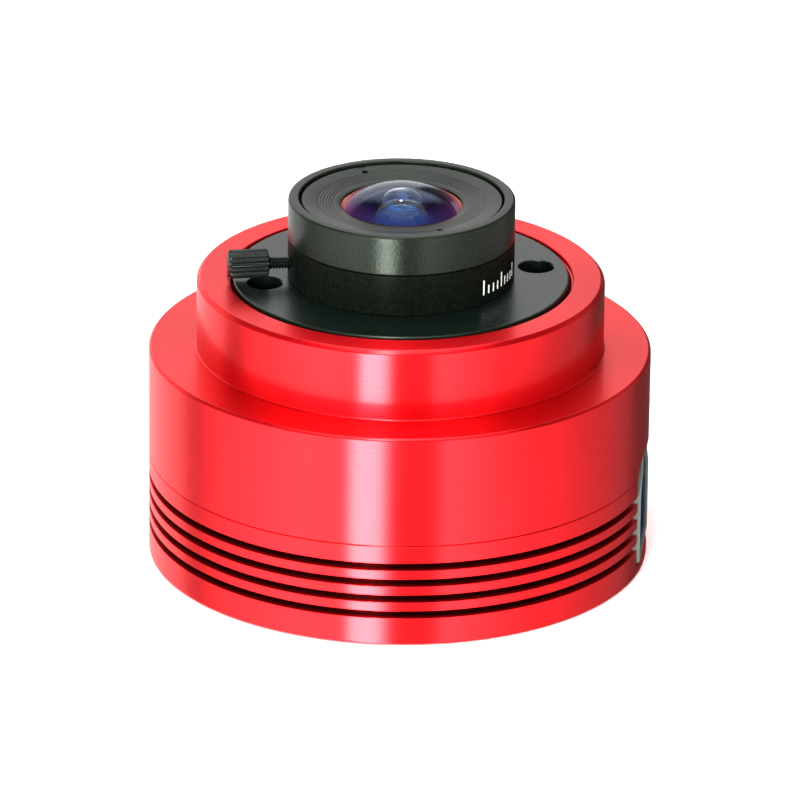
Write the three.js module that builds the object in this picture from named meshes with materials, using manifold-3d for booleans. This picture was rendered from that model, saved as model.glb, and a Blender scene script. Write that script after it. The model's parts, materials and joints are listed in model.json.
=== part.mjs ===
// A cooled astronomy camera with a small wide-angle lens, in millimetres.
// The camera stands on its base, so the optical axis is +Z and the lens looks up.
// The origin is the centre of the base, and the USB socket is near +X.
import * as THREE from 'three';
import { mergeVertices } from 'three/addons/utils/BufferGeometryUtils.js';
import Module from 'manifold-3d';

const wasm = await Module();
wasm.setup();

// ---- driving dimensions: housings -------------------------------------------------------
const BODY_R = 31;
const BASE_EDGE = 0.4;
const SEAM_Z = 13;
const SHOULDER_Z = 27;
const SHOULDER_EDGE = 0.3;
const STEP_R = 25.14;
const STEP_FILLET = 0.25;
const FRONT_Z = 36;
const FRONT_EDGE = 0.5;
const FLOOR_Z = 3;
const WALL_R = 26.4; // inside of the rear housing
const LIP_R = 28.6; // the rear housing's register, which the front housing slips over
const LIP_GAP = 0.2;
const GROOVES = { count: 4, z: 3.54, pitch: 2.09, width: 0.93, r: 28.4 };

// ---- driving dimensions: front stack ----------------------------------------------------
const THREAD_R = 21.05; // M42 x 0.75 thread in the front ring
const THREAD_ENTRY = 0.45;
const ADAPTER_Z = 31.4; // ledge that the lens adapter stops on
const ADAPTER_TOP = 36.1;
const ADAPTER_R = 20.72;
const ADAPTER_EDGE = 0.35;
const SPANNER_HOLE = { r: 2.175, at: 17, azimuths: [11.2, 191.2] };
const WINDOW = { seatZ: 28.9, boreR: 13.4, apertureR: 10.5, z: 29.3, top: 30.8, r: 12.9 };
const WINDOW_RETAINER = { innerR: 11.2, r: 13.2, top: 31.35 };
const WEB_Z = 27.6; // underside of the wall that carries the window
const CHAMBER_R = 14.2;
const CEILING_Z = 24.6;
const CAVITY_R = 27;
const IMAGE_Z = 23.6; // 12.5 mm behind the adapter's face

// ---- driving dimensions: lens -----------------------------------------------------------
const LENS_R = 13.95;
const LENS_BASE_TOP = 41.25;
const FOCUS_GAP = 0.1;
const LENS_TOP = 46.3;
const LIP_INNER_R = 12.6;
const STUB_R = 12.6; // C-mount thread, one inch across
const STUB_Z = 32.2;
const CELL_R = 9.7;
const CELL_BORE_R = 7.6;
const CELL_Z = 33;
const ELEMENT_R = 7.45; // the two inner lens elements and the rings that hold them
const EDGE = 0.15; // small chamfers on the lens
const LOCK = { azimuth: 187, z: 38.2, threadR: 0.8, headR: 1.78, ridge: 0.17 };
const LOCK_REACH = { tip: 13.05, head: 16.4, end: 21.4 }; // distances from the optical axis

// ---- driving dimensions: inner stack ----------------------------------------------------
const SPREADER_Z = 15.4;
const SPREADER_TOP = 17.6;
const PLATE_T = 0.7; // each ceramic plate of the cooler
const PELLET_TOP = 19.8;
const SENSOR_BOARD_Z = 20.8;
const SENSOR_BOARD_TOP = 22.4;
const MAIN_BOARD_Z = 4.4;
const MAIN_BOARD_TOP = 6;
const TRIPOD = { boreR: 4.65, bossR: 7.5, bossZ: 7, threadR: 3, depth: 6.2, sunk: 0.2 };
const HOUSING_SCREW = {
  at: 24.2, azimuths: [19, 109, 199, 289], headR: 2.25, headZ: 0.5, headTop: 2.1, shankR: 1.2, tip: 21,
};
const BOARD_SCREW = { at: 21.5, azimuths: [150, 250, 325], headR: 1.9, headH: 1.3, shankR: 1, length: 4.4 };
const SENSOR_SCREW = { at: 18.4, azimuths: [70, 190, 310], headR: 1.8, headZ: 19.5, shankR: 0.95, tip: 27 };
const HOUSING_HOLE = { r: 1.45, sunkR: 2.5, blindR: 1.4, blindZ: 21.5 };
const SMALL_HOLE = { r: 1.1, boardZ: 1.2, sensorZ: 27.2 };
const FLEX = { azimuth: 128, at: 16.5, width: 8, gap: 0.6 };

// ---- driving dimensions: sockets --------------------------------------------------------
const USB = { azimuth: -5.9, face: 30.7, back: 12.7, halfWidth: 6, low: 1.6, high: 14.9 };
const USB_NECK = { half: 3.2, z: 13.4, shoulderZ: 10.6 }; // the narrow upper part of the socket
const USB_OPENING = { low: 1.3, high: 15.4, topR: 3.6, bottomR: 0.6 };
const USB_BOTTOM = 20;
const POWER = { azimuth: 39, face: 30.3, back: 14.9, z: 6.7, bushR: 4, halfWidth: 4.6, bushFrom: 24.8 };
const POWER_BORE = { r: 3.15, from: 20.8, pinR: 1, pinFrom: 18, pinTo: 28.8 };
const POWER_RECESS = { to: 25.2, top: 11 };
const GUIDE = { azimuth: 84.1, face: 30.2, back: 14.2, halfWidth: 6.6, low: 1.7, high: 14.3 };
const GUIDE_OPENING = { low: 1.4, high: 14.6, r: 0.6 };
const GUIDE_MOUTH = { bottom: 18.2, half: 4.9, low: 4.6, high: 11.4, latchHalf: 3.1, latchLow: 2.9 };
const GUIDE_CONTACTS = { count: 6, pitch: 1.02, halfWidth: 0.25, z: 10.5, from: 18.4, to: 27.5 };

const FINE = 40; // facets round the housings
const MEDIUM = 32; // facets round the lens
const BOSS = 20; // facets round the screw bosses
const SMALL = 12; // facets round screws and pins
const GLASS = 24; // facets round the inner lens elements
const PAST = 1; // how far a cutter runs past the face that it cuts
const PRESS_GAP = 0.05; // between parts that sit in each other

// ---- finishes ---------------------------------------------------------------------------
const LOOKS = {
  red: { color: 0xd31120, roughness: 0.28, metalness: 0.35 },
  black: { color: 0x151716, roughness: 0.42, metalness: 0.5 },
  satinBlack: { color: 0x2c2b29, roughness: 0.5, metalness: 0.4 },
  steel: { color: 0xb9bbbd, roughness: 0.3, metalness: 1 },
  brass: { color: 0xc9a050, roughness: 0.3, metalness: 1 },
  copper: { color: 0xb86c45, roughness: 0.35, metalness: 1 },
  aluminium: { color: 0xbfc2c5, roughness: 0.4, metalness: 1 },
  glass: { color: 0x2c3f74, roughness: 0.05, metalness: 0 },
  bluePlastic: { color: 0x1f55c4, roughness: 0.45, metalness: 0 },
  blackPlastic: { color: 0x17181a, roughness: 0.5, metalness: 0 },
  nylon: { color: 0xdedbd0, roughness: 0.6, metalness: 0 },
  rubber: { color: 0x1d1d1f, roughness: 0.8, metalness: 0 },
  ceramic: { color: 0xe6e4de, roughness: 0.6, metalness: 0 },
  board: { color: 0x1c5a3a, roughness: 0.5, metalness: 0 },
  foam: { color: 0x3b3c40, roughness: 0.95, metalness: 0 },
  pad: { color: 0x8fa6b8, roughness: 0.8, metalness: 0 },
  flex: { color: 0xb77a2a, roughness: 0.45, metalness: 0 },
  die: { color: 0x3d3a52, roughness: 0.15, metalness: 0.4 },
};

// ---- helpers ----------------------------------------------------------------------------
const radians = THREE.MathUtils.degToRad;

function solidOf(geometry) {
  const bare = geometry.clone();
  bare.deleteAttribute('normal');
  bare.deleteAttribute('uv');
  const merged = mergeVertices(bare, 1e-4);
  const corners = merged.index.array;
  const triangles = [];
  for (let i = 0; i < corners.length; i += 3) {
    const [a, b, c] = corners.slice(i, i + 3);
    if (a !== b && b !== c && c !== a) triangles.push(a, b, c);
  }
  return new wasm.Manifold(new wasm.Mesh({
    numProp: 3,
    vertProperties: Float32Array.from(merged.attributes.position.array),
    triVerts: Uint32Array.from(triangles),
  }));
}

function geometryOf(solid) {
  const mesh = solid.getMesh();
  const geometry = new THREE.BufferGeometry();
  geometry.setAttribute('position', new THREE.BufferAttribute(mesh.vertProperties, 3));
  geometry.setIndex(new THREE.BufferAttribute(mesh.triVerts, 1));
  geometry.computeVertexNormals();
  return geometry;
}

// A profile of [radius, z] points turned about Z. It closes on itself or on the axis.
function turned(profile, segments = FINE) {
  const outline = profile.map(([r, z]) => new THREE.Vector2(r, z));
  if (THREE.ShapeUtils.area(outline) < 0) outline.reverse();
  const onAxis = outline[0].x === 0 && outline.at(-1).x === 0;
  if (!onAxis) outline.push(outline[0].clone());
  return solidOf(new THREE.LatheGeometry(outline, segments).rotateX(Math.PI / 2));
}

function tube(innerR, outerR, low, high, segments = FINE) {
  return turned([[innerR, low], [outerR, low], [outerR, high], [innerR, high]], segments);
}

// A round bar along Z, centred on [x, y].
function post(r, low, high, [x, y] = [0, 0], segments = SMALL) {
  const bar = new THREE.CylinderGeometry(r, r, high - low, segments).rotateX(Math.PI / 2);
  return solidOf(bar.translate(x, y, (low + high) / 2));
}

function block([lowX, lowY, lowZ], [highX, highY, highZ]) {
  const box = new THREE.BoxGeometry(highX - lowX, highY - lowY, highZ - lowZ);
  return box.translate((lowX + highX) / 2, (lowY + highY) / 2, (lowZ + highZ) / 2);
}

// An outline, as [y, z] points or a Shape, drawn out along X: it faces outwards at azimuth 0.
function outward(outline, from, to) {
  const shape = Array.isArray(outline)
    ? new THREE.Shape(outline.map(([y, z]) => new THREE.Vector2(y, z)))
    : outline;
  const settings = { depth: to - from, bevelEnabled: false, curveSegments: 5 };
  const bar = new THREE.ExtrudeGeometry(shape, settings);
  const toX = new THREE.Matrix4().makeBasis(
    new THREE.Vector3(0, 1, 0),
    new THREE.Vector3(0, 0, 1),
    new THREE.Vector3(1, 0, 0),
  );
  return bar.applyMatrix4(toX).translate(from, 0, 0);
}

// A round bar along X at height z.
function rod(r, from, to, z = 0, segments = SMALL) {
  return new THREE.CylinderGeometry(r, r, to - from, segments)
    .rotateZ(-Math.PI / 2)
    .translate((from + to) / 2, 0, z);
}

function swung(geometry, azimuth, z = 0) {
  return solidOf(geometry.rotateZ(radians(azimuth)).translate(0, 0, z));
}

function polar(r, azimuth) {
  return [r * Math.cos(radians(azimuth)), r * Math.sin(radians(azimuth))];
}

function spots({ at, azimuths }) {
  return azimuths.map((azimuth) => polar(at, azimuth));
}

function withHoles(solid, places, r, low, high) {
  return places.reduce((left, place) => left.subtract(post(r, low, high, place)), solid);
}

const camera = new THREE.Group();

function part(name, solid, look, parent = camera) {
  const mesh = new THREE.Mesh(geometryOf(solid), new THREE.MeshStandardMaterial(look));
  mesh.name = name;
  parent.add(mesh);
  return mesh;
}

function facing(azimuth, z = 0) {
  const group = new THREE.Group();
  group.rotation.z = radians(azimuth);
  group.position.z = z;
  camera.add(group);
  return group;
}

// ---- socket openings in the housings ----------------------------------------------------
function roundedOpening(halfWidth, low, high, topR, bottomR) {
  const shape = new THREE.Shape();
  shape.moveTo(-halfWidth + bottomR, low);
  shape.lineTo(halfWidth - bottomR, low);
  shape.absarc(halfWidth - bottomR, low + bottomR, bottomR, -Math.PI / 2, 0);
  shape.lineTo(halfWidth, high - topR);
  shape.absarc(halfWidth - topR, high - topR, topR, 0, Math.PI / 2);
  shape.lineTo(-halfWidth + topR, high);
  shape.absarc(-halfWidth + topR, high - topR, topR, Math.PI / 2, Math.PI);
  shape.lineTo(-halfWidth, low + bottomR);
  shape.absarc(-halfWidth + bottomR, low + bottomR, bottomR, Math.PI, 1.5 * Math.PI);
  return shape;
}

const OPENING_TO = 34;
const OPENING_GAP = 0.35;

// The openings reach inwards to the backs of the sockets, which are sunk into the floor.
function socketOpenings(solid, pastTop) {
  const usb = roundedOpening(
    USB.halfWidth + OPENING_GAP,
    USB_OPENING.low,
    USB_OPENING.high + pastTop,
    USB_OPENING.topR,
    USB_OPENING.bottomR,
  );
  const guide = roundedOpening(
    GUIDE.halfWidth + OPENING_GAP,
    GUIDE_OPENING.low,
    GUIDE_OPENING.high + pastTop,
    GUIDE_OPENING.r,
    GUIDE_OPENING.r,
  );
  const power = rod(POWER.bushR + OPENING_GAP, POWER.bushFrom - PAST, OPENING_TO, POWER.z, GLASS);
  const side = POWER.halfWidth + OPENING_GAP;
  const powerBody = block(
    [POWER.back - OPENING_GAP, -side, POWER.z - side],
    [POWER_RECESS.to, side, POWER_RECESS.top],
  );
  return solid
    .subtract(swung(outward(usb, USB.back - OPENING_GAP, OPENING_TO), USB.azimuth))
    .subtract(swung(outward(guide, GUIDE.back - OPENING_GAP, OPENING_TO), GUIDE.azimuth))
    .subtract(swung(power, POWER.azimuth))
    .subtract(swung(powerBody, POWER.azimuth));
}

// ---- housings ---------------------------------------------------------------------------
const HOUSING_POST_R = 3;
const HOUSING_BOSS_R = 3.2;
const BOARD_BOSS_R = 2.5;
const OPEN_TOP = 5; // the openings run out through the rear housing's open end

function rearHousing() {
  const side = [];
  for (let i = 0; i < GROOVES.count; i++) {
    const low = GROOVES.z + i * GROOVES.pitch;
    const high = low + GROOVES.width;
    side.push([BODY_R, low], [GROOVES.r, low], [GROOVES.r, high], [BODY_R, high]);
  }
  let cup = turned([
    [TRIPOD.boreR, 0],
    [BODY_R - BASE_EDGE, 0],
    [BODY_R, BASE_EDGE],
    ...side,
    [BODY_R, SEAM_Z],
    [LIP_R, SEAM_Z],
    [LIP_R, SPREADER_Z],
    [WALL_R, SPREADER_Z],
    [WALL_R, FLOOR_Z],
    [TRIPOD.bossR, FLOOR_Z],
    [TRIPOD.bossR, TRIPOD.bossZ],
    [TRIPOD.boreR, TRIPOD.bossZ],
  ]);
  for (const place of spots(HOUSING_SCREW)) {
    cup = cup.add(post(HOUSING_POST_R, FLOOR_Z - PAST, SPREADER_Z, place, BOSS));
  }
  for (const place of spots(BOARD_SCREW)) {
    cup = cup.add(post(BOARD_BOSS_R, FLOOR_Z - PAST, MAIN_BOARD_Z, place));
  }
  cup = withHoles(cup, spots(HOUSING_SCREW), HOUSING_HOLE.r, -PAST, SPREADER_Z + PAST);
  cup = withHoles(cup, spots(HOUSING_SCREW), HOUSING_HOLE.sunkR, -PAST, HOUSING_SCREW.headTop);
  cup = withHoles(cup, spots(BOARD_SCREW), SMALL_HOLE.r, SMALL_HOLE.boardZ, MAIN_BOARD_Z + PAST);
  return socketOpenings(cup, OPEN_TOP);
}

function frontHousing() {
  let shell = turned([
    [LIP_R + LIP_GAP, SEAM_Z],
    [BODY_R, SEAM_Z],
    [BODY_R, SHOULDER_Z - SHOULDER_EDGE],
    [BODY_R - SHOULDER_EDGE, SHOULDER_Z],
    [STEP_R + STEP_FILLET, SHOULDER_Z],
    [STEP_R, SHOULDER_Z + STEP_FILLET],
    [STEP_R, FRONT_Z - FRONT_EDGE],
    [STEP_R - FRONT_EDGE, FRONT_Z],
    [THREAD_R + THREAD_ENTRY, FRONT_Z],
    [THREAD_R, FRONT_Z - THREAD_ENTRY],
    [THREAD_R, ADAPTER_Z],
    [WINDOW.boreR, ADAPTER_Z],
    [WINDOW.boreR, WINDOW.seatZ],
    [WINDOW.apertureR, WINDOW.seatZ],
    [WINDOW.apertureR, WEB_Z],
    [CHAMBER_R, WEB_Z],
    [CHAMBER_R, CEILING_Z],
    [CAVITY_R, CEILING_Z],
    [CAVITY_R, SPREADER_TOP],
    [LIP_R + LIP_GAP, SPREADER_TOP],
  ]);
  for (const place of spots(HOUSING_SCREW)) {
    shell = shell.add(post(HOUSING_BOSS_R, SPREADER_TOP, CEILING_Z + PAST, place, BOSS));
  }
  const { blindR, blindZ } = HOUSING_HOLE;
  shell = withHoles(shell, spots(HOUSING_SCREW), blindR, SPREADER_TOP - PAST, blindZ);
  shell = withHoles(shell, spots(SENSOR_SCREW), SMALL_HOLE.r, CEILING_Z - PAST, SMALL_HOLE.sensorZ);
  return socketOpenings(shell, 0);
}

function tripodInsert() {
  const outerR = TRIPOD.boreR - PRESS_GAP;
  return turned([
    [TRIPOD.threadR, TRIPOD.sunk],
    [outerR, TRIPOD.sunk],
    [outerR, TRIPOD.bossZ],
    [0, TRIPOD.bossZ],
    [0, TRIPOD.depth],
    [TRIPOD.threadR, TRIPOD.depth],
  ].reverse(), GLASS);
}

const SOCKET_DEPTH = 0.8;

// A cap screw along +Z: the head is low, and a hexagon socket opens downwards.
function capScrew([x, y], headR, headLow, headHigh, shankR, tip) {
  const socket = new THREE.CylinderGeometry(headR / 2, headR / 2, 2 * SOCKET_DEPTH, 6)
    .rotateX(Math.PI / 2)
    .translate(x, y, headLow);
  return post(headR, headLow, headHigh, [x, y])
    .add(post(shankR, (headLow + headHigh) / 2, tip, [x, y]))
    .subtract(solidOf(socket));
}

part('rear_housing', rearHousing(), LOOKS.red);
part('front_housing', frontHousing(), LOOKS.red);
part('tripod_insert', tripodInsert(), LOOKS.steel);
spots(HOUSING_SCREW).forEach((place, i) => {
  const { headR, headZ, headTop, shankR, tip } = HOUSING_SCREW;
  part(`housing_screw_${i + 1}`, capScrew(place, headR, headZ, headTop, shankR, tip), LOOKS.steel);
});

// ---- lens adapter and window ------------------------------------------------------------
const THREAD_GAP = 0.25;

function lensAdapter() {
  const boreR = STUB_R + THREAD_GAP;
  const disc = turned([
    [boreR, ADAPTER_Z],
    [ADAPTER_R, ADAPTER_Z],
    [ADAPTER_R, ADAPTER_TOP - ADAPTER_EDGE],
    [ADAPTER_R - ADAPTER_EDGE, ADAPTER_TOP],
    [boreR + ADAPTER_EDGE, ADAPTER_TOP],
    [boreR, ADAPTER_TOP - ADAPTER_EDGE],
  ]);
  return withHoles(disc, spots(SPANNER_HOLE), SPANNER_HOLE.r, ADAPTER_Z - PAST, ADAPTER_TOP + PAST);
}

part('lens_adapter', lensAdapter(), LOOKS.black);
part(
  'window_seal',
  tube(WINDOW_RETAINER.innerR, WINDOW.r, WINDOW.seatZ, WINDOW.z, MEDIUM),
  LOOKS.rubber,
);
part('protective_window', post(WINDOW.r, WINDOW.z, WINDOW.top, [0, 0], MEDIUM), LOOKS.glass);
part(
  'window_retainer',
  tube(WINDOW_RETAINER.innerR, WINDOW_RETAINER.r, WINDOW.top, WINDOW_RETAINER.top, MEDIUM),
  LOOKS.black,
);

// ---- lens: fixed base -------------------------------------------------------------------
const SKIRT_BORE_R = 12.4;
const CELL_GUIDE_R = 9.95;
const SKIRT_FLOOR_Z = 36.9;
const GUIDE_PIN = { r: 0.6, from: 8.8, to: 12.2, z: 34.5, azimuth: 90 };
const PIN_GAP = 0.1;
const LOCK_HOLE_R = 0.95;
const FOOT_EDGE = 0.2;

function lensBase() {
  const barrel = turned([
    [CELL_GUIDE_R, STUB_Z],
    [STUB_R, STUB_Z],
    [STUB_R, ADAPTER_TOP],
    [LENS_R - FOOT_EDGE, ADAPTER_TOP],
    [LENS_R, ADAPTER_TOP + FOOT_EDGE],
    [LENS_R, LENS_BASE_TOP - EDGE],
    [LENS_R - EDGE, LENS_BASE_TOP],
    [SKIRT_BORE_R, LENS_BASE_TOP],
    [SKIRT_BORE_R, SKIRT_FLOOR_Z],
    [CELL_GUIDE_R, SKIRT_FLOOR_Z],
  ], MEDIUM);
  const lockHole = rod(LOCK_HOLE_R, SKIRT_BORE_R - PAST, LENS_R + PAST, LOCK.z);
  const pinHole = rod(GUIDE_PIN.r + PIN_GAP, CELL_GUIDE_R - PAST, GUIDE_PIN.to + PIN_GAP, GUIDE_PIN.z);
  return barrel
    .subtract(swung(lockHole, LOCK.azimuth))
    .subtract(swung(pinHole, GUIDE_PIN.azimuth));
}

function guidePin() {
  return swung(rod(GUIDE_PIN.r, GUIDE_PIN.from, GUIDE_PIN.to, GUIDE_PIN.z), GUIDE_PIN.azimuth);
}

part('lens_base', lensBase(), LOOKS.black);
part('guide_pin', guidePin(), LOOKS.steel);

// ---- lens: optical cell, which slides in the base without turning -----------------------
const HEAD_R = 12.3;
const NECK = { r: 10.6, z: 40.6 };
const FLANGE_Z = 42.9;
const FLANGE_TOP = 43.4;
const SEAT = { r: 7, z: 41.6, low: 41 };
const CLIP = { z: 39.35, top: 39.65, innerR: 9.35, r: 11.6, gapAzimuth: 30, halfGap: 3 };
const CLIP_GROOVE_R = 9.3;
const PIN_SLOT = { from: 8.6, halfWidth: 0.75, top: 36.6 };
const RETAINER = { innerR: 7.5, low: 45.05, high: 45.4, top: 46 };
const RETAINER_HOLE = { r: 0.4, bottom: 44.7, at: 10.9, azimuths: [115, 295] };
const DOME = { sphereR: 11.5, apex: 47.8, edgeR: 9.2 };
const HOLLOW = { sphereR: 3.7, apex: 46.7, edgeR: 3.5, mouthR: 5.34 };
const SECOND = { apex: 40, sphereR: -20, low: 39.3, lowSphereR: 40, r: 6, flatR: 6.4 };
const SPACER = { innerR: 6.5, z: 37.6, top: 38.9 };
const REAR = { apex: 38.5, sphereR: 22, r: 6, flatR: 6.2, z: 34.6, low: 34.4, lowSphereR: -60, lowR: 5.2 };
const REAR_RETAINER = { innerR: 5.4, z: 33.4 };

// Points of a spherical surface from the axis to radius r. sphereR is negative where it is hollow.
function cap(apex, sphereR, r, steps = 6) {
  const points = [];
  for (let i = 0; i <= steps; i++) {
    const x = (r * i) / steps;
    const fall = Math.abs(sphereR) - Math.sqrt(sphereR * sphereR - x * x);
    points.push([x, apex - Math.sign(sphereR) * fall]);
  }
  return points;
}

function opticalCell() {
  const glassBoreR = DOME.edgeR + EDGE;
  const barrel = turned([
    [CELL_BORE_R, CELL_Z],
    [CELL_R, CELL_Z],
    [CELL_R, CLIP.z - PRESS_GAP],
    [CLIP_GROOVE_R, CLIP.z - PRESS_GAP],
    [CLIP_GROOVE_R, CLIP.top + PRESS_GAP],
    [CELL_R, CLIP.top + PRESS_GAP],
    [NECK.r, NECK.z],
    [NECK.r, FLANGE_Z],
    [HEAD_R, FLANGE_Z],
    [HEAD_R, FLANGE_TOP],
    [glassBoreR, FLANGE_TOP],
    [glassBoreR, SEAT.z],
    [SEAT.r, SEAT.z],
    [SEAT.r, SEAT.low],
    [CELL_BORE_R, SEAT.low],
  ], MEDIUM);
  const { from, halfWidth, top } = PIN_SLOT;
  const slot = block([from, -halfWidth, CELL_Z - PAST], [CELL_R + PAST, halfWidth, top]);
  return barrel.subtract(swung(slot, GUIDE_PIN.azimuth));
}

function cellClip() {
  const gap = block(
    [CLIP.innerR - PAST, -CLIP.halfGap, CLIP.z - PAST],
    [CLIP.r + PAST, CLIP.halfGap, CLIP.top + PAST],
  );
  return tube(CLIP.innerR, CLIP.r, CLIP.z, CLIP.top, MEDIUM).subtract(swung(gap, CLIP.gapAzimuth));
}

function frontRetainer() {
  const plate = turned([
    [RETAINER.innerR, RETAINER.low],
    [CELL_R, FLANGE_TOP],
    [HEAD_R, FLANGE_TOP],
    [HEAD_R, RETAINER.top],
    [RETAINER.innerR, RETAINER.high],
  ], MEDIUM);
  const { r, bottom } = RETAINER_HOLE;
  return withHoles(plate, spots(RETAINER_HOLE), r, bottom, RETAINER.top + PAST);
}

function frontMeniscus() {
  const rim = DOME.apex - DOME.sphereR + Math.sqrt(DOME.sphereR ** 2 - DOME.edgeR ** 2);
  return turned([
    ...cap(HOLLOW.apex, HOLLOW.sphereR, HOLLOW.edgeR, 5),
    [HOLLOW.mouthR, SEAT.z],
    [DOME.edgeR, SEAT.z],
    [DOME.edgeR, rim],
    ...cap(DOME.apex, DOME.sphereR, DOME.edgeR).slice(0, -1).reverse(),
  ], 30);
}

function secondElement() {
  return turned([
    ...cap(SECOND.low, SECOND.lowSphereR, SECOND.r, 3),
    [SECOND.flatR, SPACER.top],
    [ELEMENT_R, SPACER.top],
    [ELEMENT_R, SEAT.low],
    ...cap(SECOND.apex, SECOND.sphereR, SECOND.r, 3).reverse(),
  ], GLASS);
}

function rearDoublet() {
  return turned([
    ...cap(REAR.low, REAR.lowSphereR, REAR.lowR, 3).slice(0, -1),
    [REAR.lowR, REAR.z],
    [ELEMENT_R, REAR.z],
    [ELEMENT_R, SPACER.z],
    [REAR.flatR, SPACER.z],
    ...cap(REAR.apex, REAR.sphereR, REAR.r, 3).reverse(),
  ], GLASS);
}

part('optical_cell', opticalCell(), LOOKS.black);
part('cell_clip', cellClip(), LOOKS.steel);
part('front_retainer', frontRetainer(), LOOKS.black);
part('front_meniscus', frontMeniscus(), LOOKS.glass);
part('second_element', secondElement(), LOOKS.glass);
part('lens_spacer_ring', tube(SPACER.innerR, ELEMENT_R, SPACER.z, SPACER.top, GLASS), LOOKS.aluminium);
part('rear_doublet', rearDoublet(), LOOKS.glass);
part('rear_retainer', tube(REAR_RETAINER.innerR, ELEMENT_R, REAR_RETAINER.z, REAR.z, GLASS), LOOKS.black);

// ---- lens: focus ring, which turns on the cell and screws along the base ----------------
const RING_SKIRT_Z = 39.9;
const RING_GAP = 0.3;
const RING_EDGE = 0.35;

function focusRing() {
  const low = LENS_BASE_TOP + FOCUS_GAP;
  const boreR = NECK.r + RING_GAP;
  const skirtR = SKIRT_BORE_R - RING_GAP;
  return turned([
    [boreR, RING_SKIRT_Z],
    [skirtR, RING_SKIRT_Z],
    [skirtR, low],
    [LENS_R - EDGE, low],
    [LENS_R, low + EDGE],
    [LENS_R, LENS_TOP - RING_EDGE],
    [LENS_R - RING_EDGE, LENS_TOP],
    [LIP_INNER_R + EDGE, LENS_TOP],
    [LIP_INNER_R, LENS_TOP - EDGE],
    [LIP_INNER_R, FLANGE_Z - RING_GAP],
    [boreR, FLANGE_Z - RING_GAP],
  ], MEDIUM);
}

part('focus_ring', focusRing(), LOOKS.satinBlack);

// ---- lens: lock screw and its pad -------------------------------------------------------
function lockScrew() {
  const ridges = 18;
  const outline = [];
  for (let i = 0; i < 2 * ridges; i++) {
    const r = i % 2 ? LOCK.headR : LOCK.headR - LOCK.ridge;
    outline.push(polar(r, (i * 180) / ridges));
  }
  const head = solidOf(outward(outline, LOCK_REACH.head, LOCK_REACH.end));
  return head.add(solidOf(rod(LOCK.threadR, LOCK_REACH.tip, LOCK_REACH.head + PAST)));
}

const lockGroup = facing(LOCK.azimuth, LOCK.z);
part('lock_screw', lockScrew(), LOOKS.black, lockGroup);
part(
  'lock_pad',
  solidOf(rod(LOCK.threadR, CELL_R + PRESS_GAP, LOCK_REACH.tip - PRESS_GAP)),
  LOOKS.nylon,
  lockGroup,
);

// ---- sockets ----------------------------------------------------------------------------
function usbOutline(inset) {
  const side = USB.halfWidth - inset;
  const neck = USB_NECK.half - inset;
  const chamfer = (Math.SQRT2 - 1) * inset;
  return [
    [-side, USB.low + inset],
    [side, USB.low + inset],
    [side, USB_NECK.shoulderZ - chamfer],
    [neck, USB_NECK.z - chamfer],
    [neck, USB.high - inset],
    [-neck, USB.high - inset],
    [-neck, USB_NECK.z - chamfer],
    [-side, USB_NECK.shoulderZ - chamfer],
  ];
}

const USB_WALL = 0.3;
const INSERT_GAP = 0.1;
const TONGUE_DEPTH = 1.6; // the tongues stop this far inside the socket's face
// the wide mouth and the narrow slot above it, with a tongue in each
const USB_MOUTH = [[-4.25, 2.9], [4.25, 2.9], [4.25, 9.2], [2.8, 10.7], [-2.8, 10.7], [-4.25, 9.2]];
const USB_SLOT = { half: 2.6, low: 11.3, high: 14 };
const USB_TONGUES = [{ half: 2.8, low: 5.2, high: 8.4 }, { half: 2.2, low: 12.3, high: 13.1 }];

function usbShell() {
  const inside = outward(usbOutline(USB_WALL), USB.back + USB_WALL, USB.face + PAST);
  return solidOf(outward(usbOutline(0), USB.back, USB.face)).subtract(solidOf(inside));
}

function usbInsert() {
  const gap = USB_WALL + INSERT_GAP;
  const slot = block(
    [USB_BOTTOM, -USB_SLOT.half, USB_SLOT.low],
    [USB.face + PAST, USB_SLOT.half, USB_SLOT.high],
  );
  let insert = solidOf(outward(usbOutline(gap), USB.back + gap, USB.face - USB_WALL))
    .subtract(solidOf(outward(USB_MOUTH, USB_BOTTOM, USB.face + PAST)))
    .subtract(solidOf(slot));
  for (const { half, low, high } of USB_TONGUES) {
    const tongue = block([USB_BOTTOM - PAST, -half, low], [USB.face - TONGUE_DEPTH, half, high]);
    insert = insert.add(solidOf(tongue));
  }
  return insert;
}

function guideJack() {
  const { back, face, halfWidth, low, high } = GUIDE;
  const mouth = GUIDE_MOUTH;
  const plug = block([mouth.bottom, -mouth.half, mouth.low], [face + PAST, mouth.half, mouth.high]);
  const latch = block(
    [mouth.bottom, -mouth.latchHalf, mouth.latchLow],
    [face + PAST, mouth.latchHalf, mouth.low + PAST],
  );
  return solidOf(block([back, -halfWidth, low], [face, halfWidth, high]))
    .subtract(solidOf(plug))
    .subtract(solidOf(latch));
}

function guideContacts() {
  const { count, pitch, halfWidth, z, from, to } = GUIDE_CONTACTS;
  const halfComb = (count * pitch + pitch) / 2 - halfWidth;
  let comb = solidOf(block([from, -halfComb, z], [from + PAST, halfComb, z + 0.7]));
  for (let i = 0; i < count; i++) {
    const y = (i - (count - 1) / 2) * pitch;
    comb = comb.add(solidOf(block([from + PAST / 2, y - halfWidth, z], [to, y + halfWidth, z + 0.35])));
  }
  return comb;
}

function powerJack() {
  const { back, face, z, bushR, halfWidth, bushFrom } = POWER;
  const { r, from, pinR, pinFrom } = POWER_BORE;
  return solidOf(block([back, -halfWidth, z - halfWidth], [bushFrom, halfWidth, z + halfWidth]))
    .add(solidOf(rod(bushR, bushFrom - PAST, face, z, GLASS)))
    .subtract(solidOf(rod(r, from, face + PAST, z, GLASS)))
    .subtract(solidOf(rod(pinR + INSERT_GAP, pinFrom - 0.2, from + PAST, z)));
}

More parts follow.
